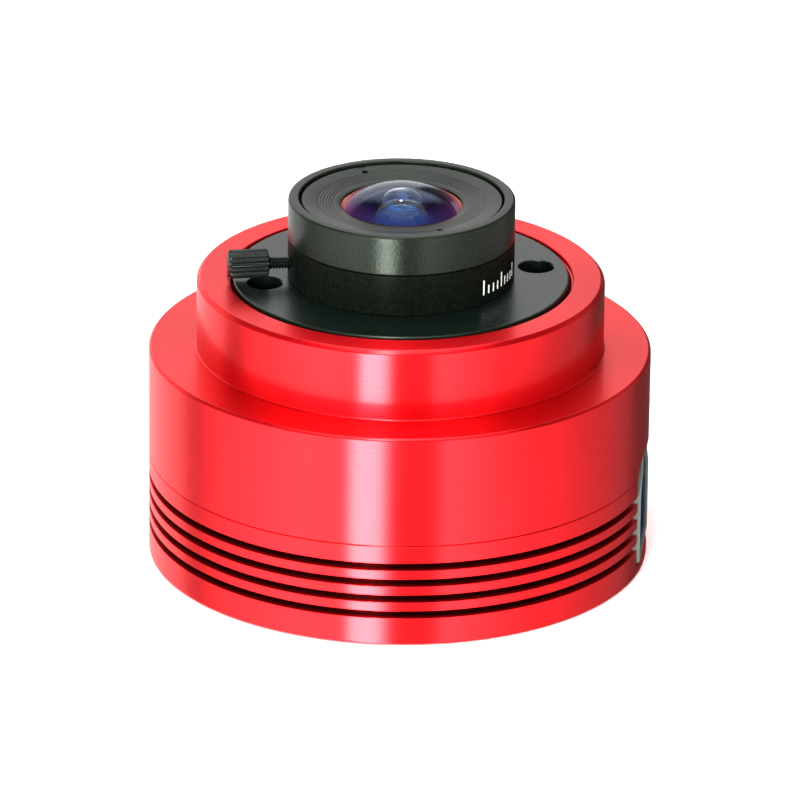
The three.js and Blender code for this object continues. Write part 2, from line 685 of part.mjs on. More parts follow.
const usbGroup = facing(USB.azimuth);
part('usb_shell', usbShell(), LOOKS.steel, usbGroup);
part('usb_insert', usbInsert(), LOOKS.bluePlastic, usbGroup);
const guideGroup = facing(GUIDE.azimuth);
part('guide_jack', guideJack(), LOOKS.blackPlastic, guideGroup);
part('guide_contacts', guideContacts(), LOOKS.brass, guideGroup);
const powerGroup = facing(POWER.azimuth);
part('power_jack', powerJack(), LOOKS.blackPlastic, powerGroup);
part(
  'power_pin',
  solidOf(rod(POWER_BORE.pinR, POWER_BORE.pinFrom, POWER_BORE.pinTo, POWER.z)),
  LOOKS.brass,
  powerGroup,
);

// ---- sensor and its cooling -------------------------------------------------------------
function plate(halfX, halfY, low, high, [x, y] = [0, 0]) {
  return solidOf(block([x - halfX, y - halfY, low], [x + halfX, y + halfY, high]));
}

const SENSOR_BOARD_R = 20.4;
const FINGER_HALF = 6;
const COOLER_HALF = 6.5;
const PACKAGE = { halfX: 8, halfY: 7, top: 24.2, wellX: 5.3, wellY: 4.3, floor: 22.8 };
const DIE = { halfX: 4.4, halfY: 3.4 };
const COVER_GLASS = { halfX: 6.6, halfY: 5.6, top: 24.7 };
const PELLETS = { across: 5, pitch: 2.4, half: 0.6, web: 0.2 };

function sensorBoard() {
  const low = SENSOR_BOARD_Z - PAST;
  const high = SENSOR_BOARD_TOP + PAST;
  const disc = post(SENSOR_BOARD_R, SENSOR_BOARD_Z, SENSOR_BOARD_TOP, [0, 0], MEDIUM)
    .subtract(plate(FINGER_HALF + 0.2, FINGER_HALF + 0.2, low, high));
  return withHoles(disc, spots(SENSOR_SCREW), SMALL_HOLE.r, low, high);
}

function sensorPackage() {
  const { halfX, halfY, top, wellX, wellY, floor } = PACKAGE;
  return plate(halfX, halfY, SENSOR_BOARD_TOP, top).subtract(plate(wellX, wellY, floor, top + PAST));
}

function coolerPellets() {
  const { across, pitch, half, web } = PELLETS;
  const low = SPREADER_TOP + PLATE_T;
  const middle = (across - 1) / 2;
  let grid = plate(FINGER_HALF, FINGER_HALF, low, low + web);
  for (let i = 0; i < across ** 2; i++) {
    const place = [((i % across) - middle) * pitch, (Math.floor(i / across) - middle) * pitch];
    grid = grid.add(plate(half, half, low + web / 2, PELLET_TOP, place));
  }
  return grid;
}

const GASKET = { innerR: 14.6, r: 16.3 };
const SPACER_R = 1.5;
const INSULATION = { innerR: 9.8, r: 15.2 };

part('sensor_board', sensorBoard(), LOOKS.board);
part('sensor_package', sensorPackage(), LOOKS.ceramic);
part('sensor_die', plate(DIE.halfX, DIE.halfY, PACKAGE.floor, IMAGE_Z), LOOKS.die);
part(
  'sensor_glass',
  plate(COVER_GLASS.halfX, COVER_GLASS.halfY, PACKAGE.top, COVER_GLASS.top),
  LOOKS.glass,
);
part('chamber_gasket', tube(GASKET.innerR, GASKET.r, SENSOR_BOARD_TOP, CEILING_Z, MEDIUM), LOOKS.foam);
spots(SENSOR_SCREW).forEach((place, i) => {
  const { headR, headZ, shankR, tip } = SENSOR_SCREW;
  const spacer = post(SPACER_R, SENSOR_BOARD_TOP, CEILING_Z, place)
    .subtract(post(SMALL_HOLE.r, SENSOR_BOARD_TOP - PAST, CEILING_Z + PAST, place));
  const screw = capScrew(place, headR, headZ, SENSOR_BOARD_Z, shankR, tip);
  part(`sensor_spacer_${i + 1}`, spacer, LOOKS.brass);
  part(`sensor_screw_${i + 1}`, screw, LOOKS.steel);
});
part(
  'cold_finger',
  plate(FINGER_HALF, FINGER_HALF, PELLET_TOP + PLATE_T, SENSOR_BOARD_TOP),
  LOOKS.copper,
);
part(
  'cooler_cold_plate',
  plate(COOLER_HALF, COOLER_HALF, PELLET_TOP, PELLET_TOP + PLATE_T),
  LOOKS.ceramic,
);
part('cooler_pellets', coolerPellets(), LOOKS.aluminium);
part(
  'cooler_hot_plate',
  plate(COOLER_HALF, COOLER_HALF, SPREADER_TOP, SPREADER_TOP + PLATE_T),
  LOOKS.ceramic,
);
part(
  'insulating_ring',
  tube(INSULATION.innerR, INSULATION.r, SPREADER_TOP, SENSOR_BOARD_Z, MEDIUM),
  LOOKS.foam,
);

function heatSpreader() {
  const low = SPREADER_Z - PAST;
  const high = SPREADER_TOP + PAST;
  const disc = post(LIP_R - 0.1, SPREADER_Z, SPREADER_TOP, [0, 0], FINE);
  const slot = block([FLEX.at - FLEX.gap, -5, low], [FLEX.at + FLEX.gap, 5, high]);
  return withHoles(disc, spots(HOUSING_SCREW), HOUSING_HOLE.r, low, high)
    .subtract(swung(slot, FLEX.azimuth));
}

part('heat_spreader', heatSpreader(), LOOKS.aluminium);

// ---- main board -------------------------------------------------------------------------
const BOARD = { innerR: 8, r: 24.6, gap: 0.4 };

function mainBoard() {
  const low = MAIN_BOARD_Z - PAST;
  const high = MAIN_BOARD_TOP + PAST;
  const cutOut = (socket, back, halfWidth) =>
    swung(block([back, -halfWidth, low], [BODY_R, halfWidth, high]), socket.azimuth);
  const disc = tube(BOARD.innerR, BOARD.r, MAIN_BOARD_Z, MAIN_BOARD_TOP)
    .subtract(cutOut(USB, USB.back - BOARD.gap, USB.halfWidth + BOARD.gap))
    .subtract(cutOut(POWER, POWER.back - BOARD.gap, POWER.halfWidth + BOARD.gap))
    .subtract(cutOut(GUIDE, GUIDE.back - BOARD.gap, GUIDE.halfWidth + BOARD.gap));
  const clear = withHoles(disc, spots(HOUSING_SCREW), HOUSING_POST_R + BOARD.gap, low, high);
  // the cut-outs leave loose corners between the sockets, and the real board has none
  const [board] = clear.decompose().sort((a, b) => b.volume() - a.volume());
  return withHoles(board, spots(BOARD_SCREW), SMALL_HOLE.r, low, high);
}

function chip(name, halfX, halfY, height, place, look = LOOKS.blackPlastic) {
  part(name, plate(halfX, halfY, MAIN_BOARD_TOP, MAIN_BOARD_TOP + height, place), look);
}

const PROCESSOR_AT = [-14.4, 1];
part('main_board', mainBoard(), LOOKS.board);
chip('processor_chip', 6, 6, 1.5, PROCESSOR_AT);
chip('memory_chip', 3.5, 4, 1, [-11.6, -13.2]);
chip('usb_chip', 4.5, 4.5, 1.1, [0, -14.5]);
chip('inductor', 3, 3, 3.5, [9.5, -12.5], LOOKS.foam);
part('thermal_pad', plate(5.5, 5.5, FLOOR_Z, MAIN_BOARD_Z, PROCESSOR_AT), LOOKS.pad);
spots(BOARD_SCREW).forEach(([x, y], i) => {
  const { headR, headH, shankR, length } = BOARD_SCREW;
  const solid = capScrew([0, 0], headR, -headH, 0, shankR, length);
  const screw = part(`board_screw_${i + 1}`, solid, LOOKS.steel);
  screw.rotation.x = Math.PI; // the head is above the board and the tip points down
  screw.position.set(x, y, MAIN_BOARD_TOP);
});

const FLEX_SOCKET = { half: 1.2, height: 1.5, end: 1 };
const FLEX_HALF_T = 0.15;

function flexSocket(low) {
  const { half, height, end } = FLEX_SOCKET;
  const halfWidth = FLEX.width / 2 + end;
  return solidOf(block([FLEX.at - half, -halfWidth, low], [FLEX.at + half, halfWidth, low + height]));
}

function flexCable() {
  const { at, width } = FLEX;
  return solidOf(block(
    [at - FLEX_HALF_T, -width / 2, MAIN_BOARD_TOP + FLEX_SOCKET.height],
    [at + FLEX_HALF_T, width / 2, SENSOR_BOARD_Z - FLEX_SOCKET.height],
  ));
}

const flexGroup = facing(FLEX.azimuth);
part('main_flex_socket', flexSocket(MAIN_BOARD_TOP), LOOKS.blackPlastic, flexGroup);
part(
  'sensor_flex_socket',
  flexSocket(SENSOR_BOARD_Z - FLEX_SOCKET.height),
  LOOKS.blackPlastic,
  flexGroup,
);
part('flex_cable', flexCable(), LOOKS.flex, flexGroup);

export default camera;
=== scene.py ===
import json
import math

import bmesh
import bpy
import numpy as np
from mathutils import Matrix, Vector


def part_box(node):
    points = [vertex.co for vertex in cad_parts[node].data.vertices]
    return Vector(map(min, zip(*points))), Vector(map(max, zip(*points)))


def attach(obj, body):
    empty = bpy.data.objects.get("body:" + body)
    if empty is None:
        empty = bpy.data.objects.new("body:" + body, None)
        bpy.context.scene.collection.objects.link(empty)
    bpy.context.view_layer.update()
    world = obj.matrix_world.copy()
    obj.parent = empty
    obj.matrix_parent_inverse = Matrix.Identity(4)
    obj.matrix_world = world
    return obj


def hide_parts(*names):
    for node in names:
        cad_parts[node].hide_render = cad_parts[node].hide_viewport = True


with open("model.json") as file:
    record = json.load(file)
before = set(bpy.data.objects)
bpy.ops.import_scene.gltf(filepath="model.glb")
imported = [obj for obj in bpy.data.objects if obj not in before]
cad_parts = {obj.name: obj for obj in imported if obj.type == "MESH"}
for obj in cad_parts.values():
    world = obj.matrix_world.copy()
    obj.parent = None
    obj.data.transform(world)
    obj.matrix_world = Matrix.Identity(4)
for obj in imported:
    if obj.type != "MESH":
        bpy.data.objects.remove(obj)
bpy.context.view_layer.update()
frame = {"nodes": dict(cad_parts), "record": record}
scene = bpy.context.scene

# Lengths below are in millimetres and become metres as each mesh is made.
MM = 0.001
ROUND = 256  # facets round the housings and the lens
FINE = 96  # facets round screws, sockets and pins


def extent(node):
    """Radius, lowest and highest point of a CAD node that is turned about Z."""
    low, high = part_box(node)
    return high.y / MM, low.z / MM, high.z / MM


# ---- driving sizes, as in the CAD model -----------------------------------------------------
BODY_R, BASE_Z, REGISTER_Z = extent("rear_housing")
_, SEAM_Z, FRONT_Z = extent("front_housing")
ADAPTER_R, ADAPTER_Z, ADAPTER_TOP = extent("lens_adapter")
LENS_R, STUB_Z, LENS_BASE_TOP = extent("lens_base")
_, RING_SKIRT_Z, LENS_TOP = extent("focus_ring")
HEAD_R, HEAD_Z, RETAINER_TOP = extent("front_retainer")
DOME_TOP = extent("front_meniscus")[2]

# Housings: the wall, its grooves, the ring's thread and the screws that hold everything.
SHOULDER_Z = 27
STEP_R = 25.14
FLOOR_Z = 3
WALL_R = 26.4
LIP_R = 28.6
GROOVES = {"count": 4, "z": 3.54, "pitch": 2.09, "width": 0.93, "r": 28.4}
GROOVE_PAINTED_SHADE = {"shallow": 0.1, "deep": 1.2, "soft": 0.1}  # depths over which the grooves are darkened with painted shade
THREAD = {"r": 21.05, "depth": 0.4, "pitch": 0.75}
WINDOW = {"seat_r": 13.4, "seat_z": 28.9, "r": 10.5, "z": 27.6, "chamber_r": 14.2}
SPREADER_TOP = 17.6
CEILING_Z = 24.6
CEILING_R = 27
HOUSING_SCREW = {
    "at": 24.2, "azimuths": (19, 109, 199, 289), "boss": 3, "upper_boss": 3.2,
    "hole": 1.45, "sink": 2.5, "sink_top": 2.1, "upper_hole": 1.4, "hole_top": 21.5,
    "head": 2.25, "head_z": 0.5, "shank": 1.2, "tip": 21,
}
BOARD_SCREW = {
    "at": 21.5, "azimuths": (150, 250, 325), "boss": 2.5, "boss_top": 4.4, "hole": 1.1, "hole_z": 1.2,
}
SENSOR_SCREW = {"at": 18.4, "azimuths": (70, 190, 310), "hole": 1.1, "hole_top": 27.2}
TRIPOD = {
    "bore": 4.65, "boss": 7.5, "top": 7,
    "thread": 3, "valley": 0.45, "pitch": 1.27, "depth": 6.2, "sunk": 0.2,
}

# Lens: its adapter, fixed barrel, focus ring, glass and lock screw.
SPANNER_HOLE = {"r": 2.175, "at": 17, "azimuths": (11.2, 191.2)}
STUB = {"r": 12.6, "depth": 0.4, "pitch": 0.794}
BASE_BORE = {"r": 9.95, "floor": 36.9, "recess": 12.4}
GUIDE_PIN = {"azimuth": 90, "z": 34.5, "hole": 0.7}
CELL = {
    "r": 9.7, "bottom": 33, "bore": 7.6, "shelf_z": 41,
    "clip_z": 39.35, "flange_r": 10.6, "flange_z": 42.9,
}
RING = {"bore": 10.9, "skirt": 12.1, "lip": 12.6, "floor": 42.6}
PLATE = {
    "bore": 7.5, "z": 45.4, "hole": 0.4, "at": 10.9, "azimuths": (115, 295),
    "grooves": 6, "groove_r": 10.4, "groove_pitch": 0.36,
}
DOME = {"sphere": 11.5, "edge": 9.2, "seat": 41.6}
HOLLOW = {"apex": 46.7, "sphere": 3.7, "edge": 3.5, "mouth": 5.34}
ELEMENT_R = 7.45
LOCK = {
    "azimuth": 187, "z": 38.2, "tip": 13.05, "head": 16.4, "end": 21.4, "r": 1.78,
    "thread": 0.8, "pitch": 0.35, "ridges": 18, "knurl": 0.26, "hole": 0.95,
}
TICKS = {
    "count": 9, "first": -43.5, "step": 3.8, "half": 0.5, "z": 37.3,
    "long": 1.9, "short": 1.1, "sunk": 0.05, "proud": 0.012,
}

# Sockets: each opens outwards along its azimuth.
USB = {
    "azimuth": -5.9, "face": 30.7, "back": 12.7, "half": 6, "low": 1.6, "high": 14.9,
    "neck": 3.2, "opening": (1.3, 15.4),
}
POWER = {
    "azimuth": 39, "face": 30.3, "back": 14.9, "z": 6.7, "bush": 4, "half": 4.6,
    "neck": 24, "front": 24.8, "recess": (25.2, 11), "bore": 3.15, "pin": 1,
}
GUIDE = {
    "azimuth": 84.1, "face": 30.2, "back": 14.2, "half": 6.6, "low": 1.7, "high": 14.3,
    "opening": (1.4, 14.6),
}


# ---- mesh helpers ---------------------------------------------------------------------------
def make(name, points, faces):
    """An object from points in millimetres, with its faces turned outwards."""
    mesh = bpy.data.meshes.new(name)
    mesh.from_pydata([tuple(p) for p in np.asarray(points, float) * MM], [], faces)
    shape = bmesh.new()
    shape.from_mesh(mesh)
    bmesh.ops.recalc_face_normals(shape, faces=shape.faces)
    shape.to_mesh(mesh)
    shape.free()
    thing = bpy.data.objects.new(name, mesh)
    scene.collection.objects.link(thing)
    return thing


def eased(outline, steps=3):
    """A closed outline of (u, v, radius) corners with each corner rounded off."""
    points = []
    for i, (u, v, radius) in enumerate(outline):
        corner = np.array((u, v), float)
        if not radius:
            points.append(tuple(corner))
            continue
        before = np.array(outline[i - 1][:2]) - corner
        after = np.array(outline[(i + 1) % len(outline)][:2]) - corner
        length_before = np.linalg.norm(before)
        length_after = np.linalg.norm(after)
        reach = min(radius, 0.48 * length_before, 0.48 * length_after)
        start = corner + before / length_before * reach
        end = corner + after / length_after * reach
        for k in range(steps + 1):
            t = k / steps
            points.append(tuple((1 - t) ** 2 * start + 2 * t * (1 - t) * corner + t * t * end))
    return points


def turned(name, rings, segments=ROUND):
    """A body turned about Z from (radius, z) rings. A radius may differ round the ring.

    The rings end on the axis, or close on themselves."""
    angle = np.arange(segments) * 2 * math.pi / segments
    points = []
    loops = []
    for radius, z in rings:
        if np.isscalar(radius) and radius == 0:
            loops.append([len(points)])
            points.append((0, 0, z))
            continue
        first = len(points)
        across = np.broadcast_to(radius, segments)
        up = np.broadcast_to(z, segments)
        points.extend(zip(across * np.cos(angle), across * np.sin(angle), up))
        loops.append(list(range(first, first + segments)))
    pairs = list(zip(loops, loops[1:]))
    if len(loops[0]) > 1:
        pairs.append((loops[-1], loops[0]))
    faces = []
    for lower, upper in pairs:
        for i in range(segments):
            j = (i + 1) % segments
            corners = [lower[i % len(lower)], lower[j % len(lower)]]
            corners += [upper[j % len(upper)], upper[i % len(upper)]]
            face = list(dict.fromkeys(corners))
            if len(face) > 2:
                faces.append(face)
    return make(name, points, faces)


def thread(crest, valley, pitch, low, high, segments=ROUND, steps=6):
    """Rings of a V thread from low to high, which fades out at both ends."""
    turn = np.arange(segments) / segments
    count = math.ceil((high - low) / pitch * steps)
    rings = []
    for i in range(count + 1):
        z = low + (high - low) * i / count
        depth = 1 - np.abs(2 * ((z / pitch - turn) % 1) - 1)
        fade = min(1, (z - low) / pitch * 2, (high - z) / pitch * 2)
        rings.append((crest + (valley - crest) * depth * fade, z))
    return rings


def lofted(name, sections, azimuth=0, z=0):
    """A closed body through matching sections of 3-D points, swung round Z."""
    count = len(sections[0])
    turn = Matrix.Rotation(math.radians(azimuth), 3, "Z")
    points = []
    for row in sections:
        points.extend(turn @ Vector(p) + Vector((0, 0, z)) for p in row)
    faces = [list(range(count)), list(range(len(points) - count, len(points)))]
    for s in range(len(sections) - 1):
        for i in range(count):
            j = (i + 1) % count
            faces.append([s * count + i, s * count + j, (s + 1) * count + j, (s + 1) * count + i])
    return make(name, points, faces)


def inset(outline, by):
    """A counter-clockwise outline moved inwards by a distance."""
    points = np.asarray(outline, float)
    ahead = np.roll(points, -1, 0) - points
    ahead /= np.linalg.norm(ahead, axis=1)[:, None]
    behind = np.roll(ahead, 1, 0)
    inward = np.stack((-ahead[:, 1] - behind[:, 1], ahead[:, 0] + behind[:, 0]), 1)
    share = 1 + (ahead * behind).sum(1)
    return points + inward * (by / share)[:, None]


def section(x, outline):
    """An outline of (y, z) points at depth x, where x may differ from point to point."""
    outline = np.asarray(outline, float)
    return np.column_stack((np.broadcast_to(x, len(outline)), outline))


def circle(radius, z=0, segments=FINE):
    """A circle's outline of (y, z) points."""
    angle = np.arange(segments) * 2 * math.pi / segments
    return np.column_stack((radius * np.cos(angle), z + radius * np.sin(angle)))


def box_outline(half, low, high, top, bottom, steps=6):
    """A rectangle's outline, with its top and bottom corners rounded off."""
    corners = [(-half, low, bottom), (half, low, bottom), (half, high, top), (-half, high, top)]
    return eased(corners, steps)


def block(name, low, high, ease, azimuth):
    """A block with rounded edges between two corners, swung round Z."""
    middle = (low[1] + high[1]) / 2
    centred = box_outline(high[1] - middle, low[2], high[2], ease, ease)
    outline = [(y + middle, z) for y, z in centred]
    ends = [
        section(low[0], inset(outline, ease * 0.9)),
        section(low[0] + ease * 0.3, inset(outline, ease * 0.3)),
        section(low[0] + ease, outline),
        section(high[0] - ease, outline),
        section(high[0] - ease * 0.3, inset(outline, ease * 0.3)),
        section(high[0], inset(outline, ease * 0.9)),
    ]
    return lofted(name, ends, azimuth)


def moved(thing, place):
    """A body turned about Z, moved to its (x, y) place."""
    thing.data.transform(Matrix.Translation((place[0] * MM, place[1] * MM, 0)))
    return thing


def settle(thing):
    """Applies the modifiers, so that the mesh is what they make of it."""
    graph = bpy.context.evaluated_depsgraph_get()
    mesh = bpy.data.meshes.new_from_object(thing.evaluated_get(graph))
    thing.modifiers.clear()
    thing.data = mesh


def combine(thing, others, operation):
    """Adds bodies to a piece or cuts them out of it, and removes them from the scene."""
    for other in others:
        step = thing.modifiers.new(operation, "BOOLEAN")
        step.operation = operation
        step.solver = "MANIFOLD"
        step.object = other
    settle(thing)
    for other in others:
        bpy.data.objects.remove(other)


def joined(things):
    """Separate bodies as one object."""
    with bpy.context.temp_override(active_object=things[0], selected_editable_objects=things):
        bpy.ops.object.join()
    return things[0]


def polar(at, azimuth):
    """The (x, y) place at a distance from the axis and an azimuth in degrees."""
    return at * math.cos(math.radians(azimuth)), at * math.sin(math.radians(azimuth))


def places(screws):
    return [polar(screws["at"], azimuth) for azimuth in screws["azimuths"]]


def posts(name, screws, size, low, high):
    """A post at each screw's place, with the radius that the screws' sizes give by that name."""
    r = screws[size]
    outline = [(0, low), (r, low), (r, high), (0, high)]
    return [moved(turned(name, outline, FINE), place) for place in places(screws)]


def smooth(thing):
    """Shades a mesh smooth, but for its sharp edges."""
    mesh = thing.data
    mesh.polygons.foreach_set("use_smooth", [True] * len(mesh.polygons))
    mesh.set_sharp_from_angle(angle=math.radians(32))
    normals = thing.modifiers.new("weighted normals", "WEIGHTED_NORMAL")
    normals.keep_sharp = True


def piece(thing, slot, body, *nodes, finish=None):
    """Finishes a piece: its surface, its material, and the body and CAD nodes that it goes with."""
    smooth(thing)
    thing.data.materials.clear()
    thing.data.materials.append(LOOKS[finish or slot])
    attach(thing, body)
    if nodes:
        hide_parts(*nodes)


# ---- materials ------------------------------------------------------------------------------
def add(tree, kind, settings=None, **inputs):
    """A shader node. Inputs are values or sockets, by name with _ for a space, or by _number."""
    node = tree.nodes.new("ShaderNode" + kind)
    for key, value in (settings or {}).items():
        setattr(node, key, value)
    for key, value in inputs.items():
        socket = node.inputs[int(key[1:])] if key[0] == "_" else node.inputs[key.replace("_", " ")]
        if isinstance(value, bpy.types.NodeSocket):
            tree.links.new(value, socket)
        else:
            socket.default_value = value
    return node


def math_of(tree, operation, *values):
    inputs = {f"_{i}": value for i, value in enumerate(values)}
    return add(tree, "Math", {"operation": operation}, **inputs).outputs[0]


def blank(name):
    look = bpy.data.materials.new(name)
    look.use_nodes = True
    look.node_tree.nodes.clear()
    return look, look.node_tree


def product(tree, *values):
    total = values[0]
    for value in values[1:]:
        total = math_of(tree, "MULTIPLY", total, value)
    return total


def round_z(tree):
    """The shaded point's distance from the Z axis, and its height."""
    axes = add(tree, "SeparateXYZ", _0=add(tree, "TexCoord").outputs["Object"])
    x2 = math_of(tree, "MULTIPLY", axes.outputs["X"], axes.outputs["X"])
    both2 = math_of(tree, "MULTIPLY_ADD", axes.outputs["Y"], axes.outputs["Y"], x2)
    return math_of(tree, "SQRT", both2), axes.outputs["Z"]


def turned_grain(tree, scale):
    """Noise that is the same all the way round Z, as a lathe tool leaves it."""
    radius, height = round_z(tree)
    ring = add(tree, "CombineXYZ", X=radius, Y=height).outputs[0]
    return add(tree, "TexNoise", {"noise_dimensions": "2D"}, Vector=ring, Scale=scale, Detail=2.0)


def speckle(tree, scale, detail=3.0):
    where = add(tree, "TexCoord").outputs["Object"]
    return add(tree, "TexNoise", Vector=where, Scale=scale, Detail=detail)


def spread(tree, value, low, high):
    """Stretches a 0 to 1 value over a range."""
    return add(tree, "MapRange", _0=value, _1=0.25, _2=0.75, _3=low, _4=high).outputs[0]


def ramped(tree, value, start, end, low, high):
    """A soft step from low to high as value goes from start to end."""
    settings = {"interpolation_type": "SMOOTHSTEP"}
    return add(tree, "MapRange", settings, _0=value, _1=start, _2=end, _3=low, _4=high).outputs[0]


def tinted(tree, value, dark, light):
    """A mix of two shades, where the first may be a socket."""
    if isinstance(dark, tuple):
        dark = (*dark, 1)
    return add(tree, "Mix", {"data_type": "RGBA"}, Factor=value, _6=dark, _7=(*light, 1)).outputs[2]


def colour_ramp(tree, value, stops):
    """The colour at value on a row of (position, colour) stops."""
    ramp = add(tree, "ValToRGB", Fac=value)
    steps = ramp.color_ramp.elements
    steps.remove(steps[1])
    for i, (position, colour) in enumerate(stops):
        step = steps[0] if i == 0 else steps.new(position)
        step.position = position
        step.color = (*colour, 1)
    return ramp.outputs[0]


def bumped(tree, height, distance):
    return add(tree, "Bump", Height=height, Distance=distance).outputs[0]


def tilt_of(tree):
    """How far the surface is turned away from the line of sight, from 0 to 1."""
    return add(tree, "LayerWeight", Blend=0.5).outputs["Facing"]


def surface(tree, **inputs):
    shader = add(tree, "BsdfPrincipled", **inputs)
    add(tree, "OutputMaterial", Surface=shader.outputs[0])


def turned_surface(tree, strength, **inputs):
    """A surface whose tool marks run round Z: they spread light across them and not along them."""
    along = add(tree, "Tangent", {"direction_type": "RADIAL", "axis": "Z"}).outputs[0]
    surface(tree, Anisotropic=strength, Anisotropic_Rotation=0.25, Tangent=along, **inputs)


def red_anodised(name, dark, light, groove_shade, roughness):
    """Dyed, turned aluminium. Painted shade makes the colour dark and dull in the bottom of the
    grooves.
    """
    look, tree = blank(name)
    marks = turned_grain(tree, 9000).outputs["Fac"]
    cloud = speckle(tree, 60).outputs["Fac"]
    radius, height = round_z(tree)
    low = GROOVES["z"] * MM
    high = low + ((GROOVES["count"] - 1) * GROOVES["pitch"] + GROOVES["width"]) * MM
    soft = GROOVE_PAINTED_SHADE["soft"] * MM
    inner = (BODY_R - GROOVE_PAINTED_SHADE["deep"]) * MM
    outer = (BODY_R - GROOVE_PAINTED_SHADE["shallow"]) * MM
    # Painted shade: the base colour turns to the dark groove shade down in the grooves.
    inside = ramped(tree, radius, inner, outer, 1, 0)
    above = ramped(tree, height, low - soft, low, 0, 1)
    below = ramped(tree, height, high, high + soft, 1, 0)
    dye = tinted(tree, spread(tree, cloud, 0, 1), dark, light)
    turned_surface(
        tree,
        0.9,
        Base_Color=tinted(tree, product(tree, above, below, inside), dye, groove_shade),
        Metallic=0.92,
        Specular_Tint=(1.0, 0.72, 0.72, 1.0),
        Roughness=spread(tree, marks, roughness * 0.9, roughness * 1.1),
        IOR=1.5,
        Coat_Weight=ramped(tree, tilt_of(tree), 0.68, 0.92, 0.2, 0.02),
        Coat_Roughness=0.16,
        Normal=bumped(tree, marks, 0.0000012),
    )
    return look


def moulded(name, dark, light, roughness, scale=4000, bump=0.00001, metallic=0.0, coat=0.0, shine=0.5):
    """A plain solid finish with a fine all-over grain."""
    look, tree = blank(name)
    grain = speckle(tree, scale).outputs["Fac"]
    cloud = speckle(tree, 150).outputs["Fac"]
    surface(
        tree,
        Base_Color=tinted(tree, spread(tree, cloud, 0, 1), dark, light),
        Metallic=metallic,
        Roughness=spread(tree, grain, roughness * 0.85, roughness * 1.15),
        Specular_IOR_Level=shine,
        Coat_Weight=coat,
        Normal=bumped(tree, grain, bump),
    )
    return look


def satin_anodised(name, dark, light, roughness, grain_scale, bump, shine, brushed):
    """Bead-blasted and dyed black aluminium with faint turning marks."""
    look, tree = blank(name)
    grain = speckle(tree, grain_scale, 1.0).outputs["Fac"]
    marks = turned_grain(tree, 5000).outputs["Fac"]
    both = math_of(tree, "MULTIPLY_ADD", marks, 0.12, grain)
    turned_surface(
        tree,
        brushed,
        Base_Color=tinted(tree, spread(tree, grain, 0, 1), dark, light),
        Roughness=spread(tree, marks, roughness * 0.9, roughness * 1.1),
        Specular_IOR_Level=shine,
        Specular_Tint=(0.84, 1.0, 0.84, 1.0),
        Normal=bumped(tree, both, bump),
    )
    return look


def clear_glass(name, tint, film_low, film_high):
    """Glass under an anti-reflection film, whose thickness drifts a little over the surface."""
    look, tree = blank(name)
    drift = speckle(tree, 90, 1.0).outputs["Fac"]
    surface(
        tree,
        Base_Color=(*tint, 1),
        Roughness=0.0,
        IOR=1.62,
        Transmission_Weight=1.0,
        Thin_Film_Thickness=spread(tree, drift, film_low, film_high),
        Thin_Film_IOR=1.38,
    )
    return look


def coated_glass(name, bands):
    """A coated lens: clear and blue in the middle, and purple to amber towards its rim, where the
    coating's reflections are painted on as a diffuse colour.
    """
    look, tree = blank(name)
    share = math_of(tree, "MULTIPLY", round_z(tree)[0], 1 / (DOME["edge"] * MM))
    drift = speckle(tree, 90, 1.0).outputs["Fac"]
    bent = math_of(tree, "MULTIPLY_ADD", share, tilt_of(tree), spread(tree, drift, -0.02, 0.02))
    glass = add(
        tree,
        "BsdfPrincipled",
        Base_Color=(0.75, 0.8, 0.85, 1.0),
        Roughness=0.0,
        Specular_Tint=(0.0, 0.22, 0.9, 1.0),
        IOR=1.5,
        Transmission_Weight=1.0,
    )
    # Painted reflection: the coating's colours are a diffuse colour ramp by radius and facing, mixed
    # in towards the rim.
    film = add(tree, "BsdfDiffuse", Color=colour_ramp(tree, bent, bands))
    amount = ramped(tree, share, 0.45, 0.9, 0.0, 0.85)
    mix = add(tree, "MixShader", _0=amount, _1=glass.outputs[0], _2=film.outputs[0])
    add(tree, "OutputMaterial", Surface=mix.outputs[0])
    return look


def circuit_board(name):
    """Green solder mask over a grid of copper tracks."""
    look, tree = blank(name)
    where = add(tree, "TexCoord").outputs["Object"]
    grid = {"Scale": 260.0, "Mortar_Size": 0.03, "Mortar_Smooth": 0.1}
    tracks = add(tree, "TexBrick", {"offset": 0.5}, Vector=where, **grid).outputs["Fac"]
    surface(
        tree,
        Base_Color=tinted(tree, tracks, (0.008, 0.10, 0.045), (0.03, 0.22, 0.10)),
        Roughness=0.35,
        Coat_Weight=0.5,
        Normal=bumped(tree, tracks, 0.00003),
    )
    return look


# Black anodised finishes: dark and light shade, roughness, grain, bump, shine, brushing.
SATIN = {
    "black_anodised": ((0.001, 0.003, 0.002), (0.003, 0.006, 0.004), 0.28, 2500, 0.000003, 0.24, 0.3),
    "satin_black": ((0.002, 0.003, 0.002), (0.006, 0.008, 0.005), 0.28, 2600, 0.000014, 0.145, 0.2),
    "matt_black": ((0.001, 0.002, 0.001), (0.004, 0.005, 0.004), 0.34, 2500, 0.000006, 0.022, 0.0),
}
